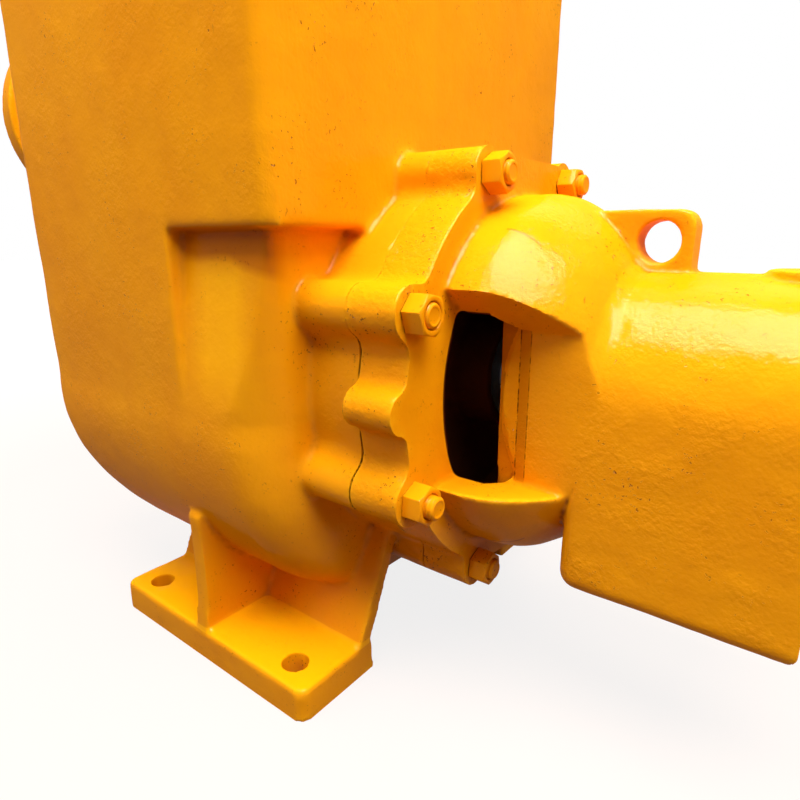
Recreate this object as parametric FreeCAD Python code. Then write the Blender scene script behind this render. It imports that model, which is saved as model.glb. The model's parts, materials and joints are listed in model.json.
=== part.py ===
import FreeCAD, Part

import math
import os

V = FreeCAD.Vector

# Stance: shaft line above the floor, and the pattern of the four foot holes
shaft_height = 245.0
foot_pitch_x = 190.0
foot_pitch_y = 346.0
foot_hole_d = 22.0
foot_end_margin = 30.0
foot_side_margin = 22.0
foot_plate_width = 82.0
foot_thickness = 27.0
web_thickness = 14.0
web_setback = 63.0
web_lean = 0.46
rib_thickness = 16.0
rib_bow = 5.0

# Casing: joint face from the foot centre, priming chamber and rounded bowl under it
joint_x = 151.0
boss_length = 28.0
chamber_length = 331.0
chamber_width = 396.0
chamber_corner_r = 12.0
deck_rise = 375.0
deck_edge_r = 8.0
ledge_rise = 112.0
ledge_step_end = 18.0
ledge_step_side = 14.0
ledge_run = 110.0
ledge_fade = -15.0
bowl_start = -20.0
bowl_depth = 175.0
bowl_side_r = 140.0
bowl_suction_reach = 200.0
bowl_suction_rise = 150.0
bowl_drive_reach = 18.0
bowl_drive_rise = 85.0
upper_corner_suction = 16.0
upper_corner_drive = 45.0
bowl_corner_suction = 40.0
bowl_corner_drive = 35.0
bowl_steps = 5
casing_wall = 10.0
drain_setback = 62.0
volute_tongue_gap = 7.0
volute_throat = 42.0
volute_wall_thickness = 8.0

# Bolted joint between casing and bearing housing
stud_pcd = 320.0
stud_count = 8
stud_d = 16.0
stud_hole_d = 18.0
nut_flats = 24.0
nut_height = 15.0
stud_end = 3.0
lobe_r = 18.0
joint_r = 155.0
lobe_blend_r = 14.0
housing_bore_d = 276.0
shim_thickness = 1.0
flange_thickness = 39.0
jack_lobe_r = 14.0
jack_lobe_pitch_r = 157.0
jack_blend_r = 10.0

# Bearing housing: windowed bell, round back, box sump and lifting lug
bell_r = 137.0
bell_straight = 21.0
bell_shoulder_run = 29.0
bell_shoulder_drop = 9.0
bell_waist_run = 37.0
bell_waist_drop = 38.0
bell_mouth_r = 112.0
body_r = 84.0
body_blend_run = 8.0
housing_length = 216.0
bell_end_wall = 49.0
bell_inner_slope = 20.0
window_low = -60.0
window_high = 47.0
window_draft = 0.88
sump_start = 75.0
sump_drop = 129.0
sump_corner_r = 12.0
sump_wall = 10.0
oil_chamber_start = 85.0
oil_chamber_length = 76.0
wall_boss_r = 97.0
wall_boss_length = 20.0
wall_block_width = 160.0
wall_block_height = 150.0
wall_block_length = 24.0
lug_thickness = 22.0
lug_end = 122.0
lug_rise = 124.0
lug_corner_r = 12.0
eye_x = 100.0
eye_rise = 103.0
eye_d = 28.0
vent_pad_x = 190.0
vent_pad_r = 26.0
vent_pad_height = 3.0
gauge_x = 140.0
gauge_drop = 62.0
gauge_r = 14.0
oil_drain_x = 120.0

# Rotating assembly
impeller_r = 124.0
impeller_width = 43.0
shroud_thickness = 8.0
shroud_gap = 4.0
hub_r = 30.0
vane_thickness = 12.0
vane_wrap = 165.0
vane_inner_r = 26.0
eye_r = 52.0
shaft_seal_r = 20.0
sleeve_r = 25.0
journal_r = 22.5
shaft_body_r = 28.0
coupling_r = 19.0
coupling_length = 78.0
oil_journal_r = 20.0
cap_gasket_thickness = 1.0
cap_thickness = 14.0
cap_neck = 4.0
key_width = 10.0
key_depth = 5.0
key_length = 60.0
bearing_outer_r = 50.0
bearing_width = 25.0
race_land = 5.5
ball_r = 8.0
outboard_end_space = 11.0
running_gap = 0.05
body_gap = 0.3

# Seal plate and mechanical seal
seal_plate_thickness = 26.0
seal_plate_fit = 0.3
seal_hub_r = 46.0
seal_hub_length = 34.0
seal_bore_r = 38.0
seal_screw_pcd = 250.0
seal_screw_count = 4
o_ring_wire_r = 1.9
o_ring_groove_width = 6.0
o_ring_groove_depth = 4.5

# Wear plate, front cover and its clamping
wear_plate_thickness = 12.0
wear_gap = 1.5
partition_thickness = 10.0
wear_plate_r = 126.5
cover_bore_r = 132.0
cover_pad_r = 142.0
cover_pad_height = 10.0
cover_neck = 62.0
cover_thickness = 16.0
cover_stud_offset = 110.0
cover_lobe_r = 20.0
cover_spigot = 24.0
cover_stud_grip = 21.0
cover_boss_r = 70.0
cover_boss_height = 8.0
cover_handle_half = 62.0
cover_handle_drop = 34.0
cover_handle_reach = 42.0
cover_handle_r = 7.0
relief_rise = 42.0
relief_reach = 20.0
relief_thread_r = 13.0
cover_stud_d = 16.0
spacer_d = 16.0
spacer_pcd = 190.0
hand_nut_r = 17.0
hand_nut_height = 24.0
hand_nut_wing = 36.0

# Suction check valve and pipe flanges, 4 inch class 150
suction_rise = 250.0
pipe_bore_r = 51.0
pipe_flange_r = 114.5
pipe_flange_thickness = 24.0
pipe_bolt_pcd = 190.5
pipe_bolt_count = 8
pipe_hole_d = 19.0
valve_box_length = 235.0
valve_box_r = 82.0
valve_box_wall = 9.0
valve_nut_space = 0.4
valve_joint_land = 11.0
valve_joint_thickness = 18.0
valve_stud_d = 14.0
valve_nut_flats = 21.0
valve_nut_height = 12.0
flap_r = 57.0
flap_thickness = 9.0
flap_pivot_rise = 62.0
flap_pin_r = 4.5
flap_knuckle_r = 7.0
flap_pivot_setback = 6.0
flap_ear_y = 34.0
flap_ear_thickness = 8.0
flap_ear_drop = 7.0
flap_ear_rise = 5.0
flap_weight_r = 26.0
flap_weight_length = 10.0
flap_arm_width = 20.0
flap_knuckle_length = 36.0
seat_ring_r = 54.0
seat_rise = 10.0
gasket_thickness = 2.0

# Discharge flange on the deck
discharge_x = -188.0
discharge_pad = 184.0
discharge_pad_height = 8.0
discharge_stud_pitch = 144.0
discharge_height = 60.0
discharge_base_thickness = 18.0

# Fill port with its clamp
fill_x = -352.0
fill_neck_r = 44.0
fill_bore_r = 34.0
fill_neck_height = 16.0
fill_cover_thickness = 8.0
clamp_reach = 62.0
clamp_bar_width = 24.0
clamp_bar_thickness = 14.0
clamp_bar_gap = 10.0
clamp_post_r = 14.0
clamp_pin_r = 6.0
clamp_pin_depth = 16.0
clamp_screw_r = 8.0
clamp_handle_length = 80.0

# Places along the shaft: nut_x is the plane of the nuts' outer faces, the rest are measured from it
axis_z = shaft_height
flange_back_x = joint_x + shim_thickness
flange_face_x = flange_back_x + flange_thickness
nut_x = flange_face_x + nut_height
chamber_drive_x = joint_x - boss_length
chamber_suction_x = chamber_drive_x - chamber_length
chamber_half = chamber_width / 2
bowl_drive_x = chamber_drive_x - ledge_step_end
deck_z = axis_z + deck_rise
ledge_z = axis_z + ledge_rise
drain_x = bowl_drive_x - drain_setback
suction_z = axis_z + suction_rise
valve_joint_pcd = 2 * (valve_box_r + valve_nut_flats / math.sqrt(3) + valve_nut_space)
valve_joint_r = valve_joint_pcd / 2 + valve_joint_land
housing_end_x = flange_face_x + housing_length
wall_x = flange_face_x + bell_end_wall
seal_plate_x = flange_back_x - seal_plate_thickness
impeller_back_x = seal_plate_x - shroud_gap
impeller_front_x = impeller_back_x - shroud_thickness - impeller_width
wear_face_x = impeller_front_x - wear_gap
partition_x = wear_face_x - wear_plate_thickness
cap_x = housing_end_x + cap_gasket_thickness
shoulder_x = cap_x + cap_thickness + cap_neck + 2.0
inboard_x = wall_x + 6.0
race_mid_r = (bearing_outer_r + journal_r) / 2
outboard_x = housing_end_x - outboard_end_space - bearing_width


def box(x0, x1, y0, y1, z0, z1):
    """A block between two corners."""
    return Part.makeBox(x1 - x0, y1 - y0, z1 - z0, V(x0, y0, z0))


def rod_x(x0, x1, r, y=0.0, z=axis_z):
    """A round bar along X."""
    return Part.makeCylinder(r, x1 - x0, V(x0, y, z), V(1, 0, 0))


def rod_y(y0, y1, r, x, z):
    """A round bar along Y."""
    return Part.makeCylinder(r, y1 - y0, V(x, y0, z), V(0, 1, 0))


def rod_z(z0, z1, r, x, y):
    """A round bar along Z."""
    return Part.makeCylinder(r, z1 - z0, V(x, y, z0), V(0, 0, 1))


def fuse(shapes):
    """One shape from several that overlap or touch."""
    first, rest = shapes[0], shapes[1:]
    return first.multiFuse(rest).removeSplitter() if rest else first


def cut(shape, tools):
    """A shape with several tools taken away."""
    return shape.cut(Part.makeCompound(tools)) if len(tools) > 1 else shape.cut(tools[0])


def polygon(points):
    """A face from a closed list of corner points."""
    return Part.Face(Part.makePolygon([V(*p) for p in points] + [V(*points[0])]))


def prism_x(yz_points, x0, x1):
    """A closed outline in the YZ plane, pushed along X."""
    return polygon([(x0, y, z) for y, z in yz_points]).extrude(V(x1 - x0, 0, 0))


def prism_y(xz_points, y0, y1):
    """A closed outline in the XZ plane, pushed along Y."""
    return polygon([(x, y0, z) for x, z in xz_points]).extrude(V(0, y1 - y0, 0))


def revolve_x(profile, z=axis_z):
    """A solid of revolution about the shaft line, from (x, radius) points."""
    return polygon([(x, 0, z + r) for x, r in profile]).revolve(V(0, 0, z), V(1, 0, 0), 360)


def wire_ring(x_mid, ring_r, wire_r, z=axis_z):
    """A ring of six-sided section about the shaft line, as a seated O-ring or a spring's coil."""
    side = wire_r / math.cos(math.radians(30))
    section = [(x_mid + side * math.cos(math.radians(a)), ring_r + side * math.sin(math.radians(a)))
               for a in range(30, 390, 60)]
    return revolve_x(section, z)


def o_ring_groove(x0, spigot_r):
    """The cutter of an O-ring groove in a spigot."""
    cutter = rod_x(x0, x0 + o_ring_groove_width, spigot_r + 1)
    return cutter.cut(rod_x(x0 - 1, x0 + o_ring_groove_width + 1, spigot_r - o_ring_groove_depth))


def seated_o_ring(x0, spigot_r):
    """The O-ring in such a groove."""
    return wire_ring(x0 + o_ring_groove_width / 2, spigot_r - o_ring_groove_depth / 2, o_ring_wire_r)


def on_circle(pcd, count, first_deg):
    """Hole centres (y, z) on a circle, seen along the shaft."""
    turns = [math.radians(first_deg + 360.0 * i / count) for i in range(count)]
    return [(pcd / 2 * math.cos(a), pcd / 2 * math.sin(a)) for a in turns]


def hex_bar(x0, length, flats, y, z, chamfer_face=1):
    """A hexagon along X with its outer corners chamfered."""
    corner_r = flats / math.sqrt(3)
    corners = [(y + corner_r * math.cos(math.radians(a)), z + corner_r * math.sin(math.radians(a)))
               for a in range(0, 360, 60)]
    bar = prism_x(corners, x0, x0 + length)
    drop = (corner_r - flats / 2) * 0.8
    outer_x = x0 + length if chamfer_face > 0 else x0
    inner_x = x0 if chamfer_face > 0 else x0 + length
    bound = polygon([(inner_x, y, z), (inner_x, y, z + corner_r + 1), (outer_x - chamfer_face * drop, y,
                    z + corner_r + 1), (outer_x - chamfer_face * drop, y, z + corner_r),
                    (outer_x, y, z + flats / 2 - 0.3), (outer_x, y, z)])
    return bar.common(bound.revolve(V(0, y, z), V(1, 0, 0), 360))


def turn_to_z(shape, x, y, z):
    """Stand a part that was made along X at the origin up along +Z at a place."""
    moved = shape.copy()
    moved.rotate(V(0, 0, 0), V(0, 1, 0), -90)
    moved.translate(V(x, y, z))
    return moved


def nut_x_bar(x0, flats, height, hole_r, y, z, side=1):
    """A hexagon nut along X."""
    return hex_bar(x0, height, flats, y, z, side).cut(rod_x(x0 - 1, x0 + height + 1, hole_r, y, z))


def plan_wire(x0, x1, half, r0, r1, z):
    """A rounded rectangle at height z, corner radius r0 at its x0 end and r1 at its x1 end."""
    def arc(cx, cy, r, start):
        spots = [V(cx + r * math.cos(math.radians(a)), cy + r * math.sin(math.radians(a)), z)
                 for a in (start, start + 45, start + 90)]
        return Part.Arc(*spots).toShape()

    corners = [arc(x1 - r1, -half + r1, r1, -90), arc(x1 - r1, half - r1, r1, 0),
               arc(x0 + r0, half - r0, r0, 90), arc(x0 + r0, -half + r0, r0, 180)]
    edges = []
    for this, following in zip(corners, corners[1:] + corners[:1]):
        edges.append(this)
        edges.append(Part.makeLine(this.Vertexes[-1].Point, following.Vertexes[0].Point))
    return Part.Wire(edges)


def lobed_arc_angles(centre_r, r, base_r, blend_r):
    """Half angles at which a lobe's blend starts on the base circle, and the blend's centre distance."""
    reach = base_r + blend_r
    cosine = (reach ** 2 + centre_r ** 2 - (r + blend_r) ** 2) / (2 * reach * centre_r)
    return math.acos(cosine), reach


def lobed_face(x, base_r, lobes):
    """A round outline with blended lobes; each lobe is (angle, centre radius, lobe radius, blend radius)."""
    def at(radius, angle):
        return V(x, radius * math.cos(angle), axis_z + radius * math.sin(angle))

    def toward(start, end, distance):
        return start + (end - start).normalize() * distance

    edges = []
    lobes = sorted(lobes)
    previous_end = None
    first_start = None
    for degrees, centre_r, r, blend_r in lobes:
        middle = math.radians(degrees)
        half, reach = lobed_arc_angles(centre_r, r, base_r, blend_r)
        centre = at(centre_r, middle)
        sides = []
        for sign in (-1, 1):
            blend_centre = at(reach, middle + sign * half)
            on_base = at(base_r, middle + sign * half)
            on_lobe = toward(centre, blend_centre, r)
            mean = (on_base + on_lobe) * 0.5
            sides.append((on_base, toward(blend_centre, mean, blend_r), on_lobe))
        tip = at(centre_r + r, middle)
        if previous_end is None:
            first_start = (middle - half, sides[0][0])
        else:
            start_angle, start_point = previous_end
            mid = at(base_r, (start_angle + middle - half) / 2)
            edges.append(Part.Arc(start_point, mid, sides[0][0]).toShape())
        edges.append(Part.Arc(*sides[0]).toShape())
        edges.append(Part.Arc(sides[0][2], tip, sides[1][2]).toShape())
        edges.append(Part.Arc(sides[1][2], sides[1][1], sides[1][0]).toShape())
        previous_end = (middle + half, sides[1][0])
    start_angle, start_point = previous_end
    end_angle, end_point = first_start
    mid = at(base_r, (start_angle + end_angle + 2 * math.pi) / 2)
    edges.append(Part.Arc(start_point, mid, end_point).toShape())
    return Part.Face(Part.Wire(edges))


def stud_lobes():
    """The lobes that carry the joint's studs."""
    return [(22.5 + 45.0 * i, stud_pcd / 2, lobe_r, lobe_blend_r) for i in range(stud_count)]


def stud_places():
    """The joint studs' centres (y, z)."""
    return [(y, axis_z + z) for y, z in on_circle(stud_pcd, stud_count, 22.5)]


def rounding(rise, height, reach):
    """How far a quarter ellipse has turned inwards at a height above the bottom."""
    share = min(max((height - rise) / height, 0.0), 1.0)
    return reach * (1 - math.sqrt(1 - share ** 2))


def bowl_section(rise, inset):
    """The casing's outline at a height above the bowl's bottom, drawn in by the inset."""
    share = 1 - rise / bowl_depth
    return plan_wire(
        chamber_suction_x + inset + rounding(rise, bowl_suction_rise, bowl_suction_reach),
        bowl_drive_x - inset - rounding(rise, bowl_drive_rise, bowl_drive_reach),
        chamber_half - inset - rounding(rise, bowl_side_r, bowl_side_r),
        upper_corner_suction + (bowl_corner_suction - upper_corner_suction) * share - inset,
        upper_corner_drive + (bowl_corner_drive - upper_corner_drive) * share - inset,
        bowl_z() + rise + inset * share)


def block_section(x1, r0, r1, z, inset):
    """A level outline of the casing above the bowl."""
    return plan_wire(chamber_suction_x + inset, x1 - inset, chamber_half - inset, r0 - inset, r1 - inset, z)


def hull(inset):
    """The casing's outer form, or its cavity where inset is the wall: chamber, body and rounded bowl."""
    start_z = axis_z + bowl_start
    body_top = ledge_z - inset
    body = Part.makeLoft([
        block_section(bowl_drive_x, chamber_corner_r, 20.0, body_top, inset),
        block_section(bowl_drive_x, upper_corner_suction, upper_corner_drive, start_z, inset)], True, True)
    rises = [bowl_depth * (1 - math.sin(math.radians(90.0 * step / bowl_steps)))
             for step in range(bowl_steps + 1)]
    sections = [bowl_section(rise, inset) for rise in rises]
    if inset > 0:
        steps = zip(sections, sections[1:])
        bowl = fuse([Part.makeLoft([upper, lower], True, True) for upper, lower in steps])
    else:
        bowl = Part.makeLoft(sections, True, False)
    levels = [ledge_z + inset, deck_z - inset]
    chamber = Part.makeLoft([block_section(chamber_drive_x, chamber_corner_r, chamber_corner_r, z, inset)
                             for z in levels], True, True)
    pieces = [body, bowl, chamber]
    if inset > 0:
        pieces.append(Part.makeLoft([
            block_section(bowl_drive_x, chamber_corner_r, 20.0, body_top, inset),
            block_section(bowl_drive_x, chamber_corner_r, 20.0, ledge_z + inset, inset)], True, True))
    return pieces


def feet():
    """Two foot plates, each with a leaning web under the bowl and one gusset rib."""
    outer_y = foot_pitch_y / 2 + foot_side_margin
    half_x = foot_pitch_x / 2 + foot_end_margin
    pieces = []
    for side in (-1, 1):
        y0, y1 = sorted((side * (outer_y - foot_plate_width), side * outer_y))
        plate = box(-half_x, half_x, y0, y1, 0, foot_thickness)
        upright = [e for e in plate.Edges if abs(e.tangentAt(e.FirstParameter).z) > 0.9
                   and abs(e.Vertexes[0].Point.y) > outer_y - 1]
        plate = plate.makeFillet(9.0, upright)
        rims = [e for e in plate.Edges if abs(e.Vertexes[0].Point.z - foot_thickness) < 0.01
                and abs(e.Vertexes[-1].Point.z - foot_thickness) < 0.01
                and max(abs(v.Point.y) for v in e.Vertexes) > outer_y - 10]
        plate = plate.makeFillet(4.0, rims)
        web_y = outer_y - web_setback
        rise = axis_z + bowl_start - 100.0 - foot_thickness
        lean = web_lean * rise
        web = prism_x([(side * web_y, foot_thickness - 5), (side * (web_y - lean), foot_thickness + rise),
                       (side * (web_y - lean - web_thickness), foot_thickness + rise),
                       (side * (web_y - web_thickness), foot_thickness - 5)], -half_x, half_x)
        rib_top = axis_z + bowl_start - 92.0
        front = Part.Arc(V(-rib_thickness / 2, side * (outer_y - 1), foot_thickness),
                         V(-rib_thickness / 2, side * (outer_y - rib_bow), (foot_thickness + rib_top) / 2),
                         V(-rib_thickness / 2, side * (outer_y - 3), rib_top)).toShape()
        top = V(-rib_thickness / 2, side * (web_y - lean), rib_top)
        low = V(-rib_thickness / 2, side * (web_y - 1), foot_thickness)
        rib = Part.Face(Part.Wire([front, Part.makeLine(front.Vertexes[-1].Point, top),
                                   Part.makeLine(top, low),
                                   Part.makeLine(low, front.Vertexes[0].Point)]))
        pieces += [plate, web, rib.extrude(V(rib_thickness, 0, 0))]
    return pieces


def foot_holes():
    """The four holding-down holes."""
    return [rod_z(-1, foot_thickness + 1, foot_hole_d / 2, sx * foot_pitch_x / 2, sy * foot_pitch_y / 2)
            for sx in (-1, 1) for sy in (-1, 1)]


def volute_wall():
    """The spiral wall round the impeller, which opens upwards into the chamber."""
    first, last = 70.0, 360.0

    def spot(share, extra):
        angle = math.radians(first + (last - first) * share)
        r = impeller_r + volute_tongue_gap + (volute_throat - volute_tongue_gap) * share + extra
        return V(partition_x, r * math.cos(angle), axis_z + r * math.sin(angle))

    def spiral(extra):
        arcs = 4
        return [Part.Arc(spot(i / arcs, extra), spot((i + 0.5) / arcs, extra),
                         spot((i + 1) / arcs, extra)).toShape() for i in range(arcs)]

    inner, outer = spiral(0.0), spiral(volute_wall_thickness)
    top_z = ledge_z - volute_wall_thickness
    rise_in = V(partition_x, spot(1.0, 0.0).y, top_z)
    rise_out = V(partition_x, spot(1.0, volute_wall_thickness).y, top_z)
    edges = inner + [Part.makeLine(spot(1.0, 0.0), rise_in), Part.makeLine(rise_in, rise_out),
                     Part.makeLine(rise_out, spot(1.0, volute_wall_thickness))]
    edges += outer[::-1] + [Part.makeLine(spot(0.0, volute_wall_thickness), spot(0.0, 0.0))]
    wire = Part.Wire(Part.__sortEdges__(edges))
    return Part.Face(wire).extrude(V(bowl_drive_x - partition_x, 0, 0))


def dividers():
    """Inner walls that part the suction well from the volute and the priming chamber."""
    half = chamber_half
    low = axis_z + bowl_start - bowl_depth
    well_x = chamber_suction_x + 102.0
    roof_z = suction_z + 82.0
    knee_z = ledge_z + 18.0
    step_z = suction_z - 50.0
    t = partition_thickness
    plate = box(partition_x - t, partition_x, -half, half, low, knee_z + t)
    slope = prism_y([(partition_x - t, knee_z), (partition_x, knee_z + t), (well_x + t, step_z + t),
                     (well_x, step_z)], -half, half)
    shaft_wall = box(well_x, well_x + t, -half, half, step_z - 2, roof_z)
    roof = box(chamber_suction_x, well_x + t, -half, half, roof_z, roof_z + t)
    return [plate, slope, shaft_wall, roof]


def make_casing():
    """The pump casing, one casting with its feet."""
    body, bowl, chamber = hull(0.0)
    top_edges = [e for e in chamber.Edges if all(abs(v.Point.z - deck_z) < 0.01 for v in e.Vertexes)]
    chamber = chamber.makeFillet(deck_edge_r, top_edges)
    fade_z = axis_z + ledge_fade
    recesses = []
    for side in (-1, 1):
        recesses.append(prism_x([(side * (chamber_half - ledge_step_side), ledge_z),
                                 (side * (chamber_half + 5), ledge_z), (side * (chamber_half + 5), fade_z),
                                 (side * chamber_half, fade_z)],
                                chamber_drive_x - ledge_run, joint_x))
    body = cut(body, recesses)
    neck = lobed_face(bowl_drive_x - 4, joint_r, stud_lobes()).extrude(V(joint_x - bowl_drive_x + 4, 0, 0))
    suction_pad = rod_x(chamber_suction_x - cover_pad_height, chamber_suction_x + 12, valve_joint_r, 0,
                        suction_z)
    cover_pad = rod_x(chamber_suction_x - cover_pad_height, chamber_suction_x + cover_neck, cover_pad_r)
    ears = [rod_x(chamber_suction_x - cover_pad_height, chamber_suction_x + 60, cover_lobe_r, y, axis_z + z)
            for y, z in cover_stud_places()]
    pad = box(-discharge_pad / 2, discharge_pad / 2, -discharge_pad / 2, discharge_pad / 2, deck_z - 12,
              deck_z + discharge_pad_height)
    pad = pad.makeFillet(18.0, [e for e in pad.Edges if abs(e.tangentAt(e.FirstParameter).z) > 0.9])
    pad.translate(V(nut_x + discharge_x, 0, 0))
    outer = fuse([body, bowl, chamber, neck, suction_pad, cover_pad, pad] + ears + feet()
                 + fill_castings() + [drain_boss()])
    inner = fuse(hull(casing_wall))
    liners = [rod_x(chamber_suction_x - 5, chamber_suction_x + cover_neck, cover_pad_r),
              box(chamber_drive_x - ledge_run - 4, bowl_drive_x, -chamber_half, 24.0 - chamber_half,
                  bowl_z(), ledge_z + 2),
              box(chamber_drive_x - ledge_run - 4, bowl_drive_x, chamber_half - 24.0, chamber_half,
                  bowl_z(), ledge_z + 2)]
    cavity = cut(inner, dividers() + [volute_wall()] + liners + ears + [stud_boss_liner()])
    bores = [rod_x(bowl_drive_x - casing_wall - 2, joint_x + 1, housing_bore_d / 2),
             rod_x(partition_x - partition_thickness - 1, partition_x + 1, wear_plate_r + 0.5),
             rod_x(chamber_suction_x - cover_pad_height - 1, chamber_suction_x + cover_neck + 1,
                   cover_bore_r),
             rod_x(chamber_suction_x - cover_pad_height - 1, chamber_suction_x + 13, valve_box_r
                   - valve_box_wall, 0, suction_z),
             rod_z(deck_z - 13, deck_z + 20, pipe_bore_r, nut_x + discharge_x, 0),
             rod_z(deck_z - 13, deck_z + fill_neck_height + 1, fill_bore_r, nut_x + fill_x, 0)]
    stud_holes = [rod_x(joint_x - 40, joint_x + 1, stud_d / 2, y, z) for y, z in stud_places()]
    cover_holes = [rod_x(chamber_suction_x - cover_pad_height - 1,
                         chamber_suction_x - cover_pad_height + cover_stud_grip + 11, cover_stud_d / 2,
                         y, axis_z + z) for y, z in cover_stud_places()]
    valve_holes = [rod_x(chamber_suction_x - cover_pad_height - 1, chamber_suction_x + 9, valve_stud_d / 2,
                         y, suction_z + z) for y, z in on_circle(valve_joint_pcd, 6, 30.0)]
    deck_holes = [rod_z(deck_z - 9, deck_z + 20, valve_stud_d / 2, x, y) for x, y in discharge_stud_places()]
    return cut(outer, [cavity] + bores + stud_holes + cover_holes + valve_holes + deck_holes
               + foot_holes() + [drain_hole()])


def bowl_z():
    """The level of the bowl's bottom."""
    return axis_z + bowl_start - bowl_depth


def stud_boss_liner():
    """Metal behind the joint face, so that the stud holes stay blind."""
    ring = rod_x(bowl_drive_x - 14, chamber_drive_x, joint_r + lobe_r + 4)
    return ring.cut(rod_x(bowl_drive_x - 15, chamber_drive_x + 1, housing_bore_d / 2))


def cover_stud_places():
    """The front cover's stud centres, measured from the shaft line."""
    return [(sy * cover_stud_offset, sz * cover_stud_offset) for sy in (-1, 1) for sz in (-1, 1)]


def discharge_stud_places():
    """The discharge flange's stud centres (x, y)."""
    half = discharge_stud_pitch / 2
    return [(nut_x + discharge_x + sx * half, sy * half) for sx in (-1, 1) for sy in (-1, 1)]


def drain_boss():
    """The boss of the casing drain, under the bowl."""
    return rod_z(bowl_z() - 8, bowl_z() + 14, 22.0, drain_x, 0)


def drain_hole():
    """The drain's hole."""
    return rod_z(bowl_z() - 9, bowl_z() + casing_wall + 10, 12.0, drain_x, 0)


def fill_levels():
    """Heights of the fill neck's rim, cover top, clamp bar's underside and clamp bar's top."""
    rim = deck_z + fill_neck_height
    cover_top = rim + gasket_thickness + fill_cover_thickness
    bar_low = cover_top + clamp_bar_gap
    return rim, cover_top, bar_low, bar_low + clamp_bar_thickness


def fill_castings():
    """The fill neck with the clamp's pivot post and its open hook."""
    rim, _, bar_low, bar_top = fill_levels()
    x = nut_x + fill_x
    neck = rod_z(deck_z - 12, rim, fill_neck_r, x, 0)
    pivot = rod_z(deck_z - 12, bar_low - body_gap, clamp_post_r, x, clamp_reach)
    pivot = pivot.cut(rod_z(bar_low - clamp_pin_depth, bar_low, clamp_pin_r, x, clamp_reach))
    half = clamp_bar_width / 2
    back_x = x + half + 1.0
    hook = box(x - half, back_x + 10, -clamp_reach - 12, -clamp_reach + 10, deck_z - 12, bar_top + 11)
    slot = box(x - half - 1, back_x, -clamp_reach - 13, -clamp_reach + 11, bar_low - body_gap,
               bar_top + body_gap)
    return [neck, pivot, hook.cut(slot)]


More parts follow.
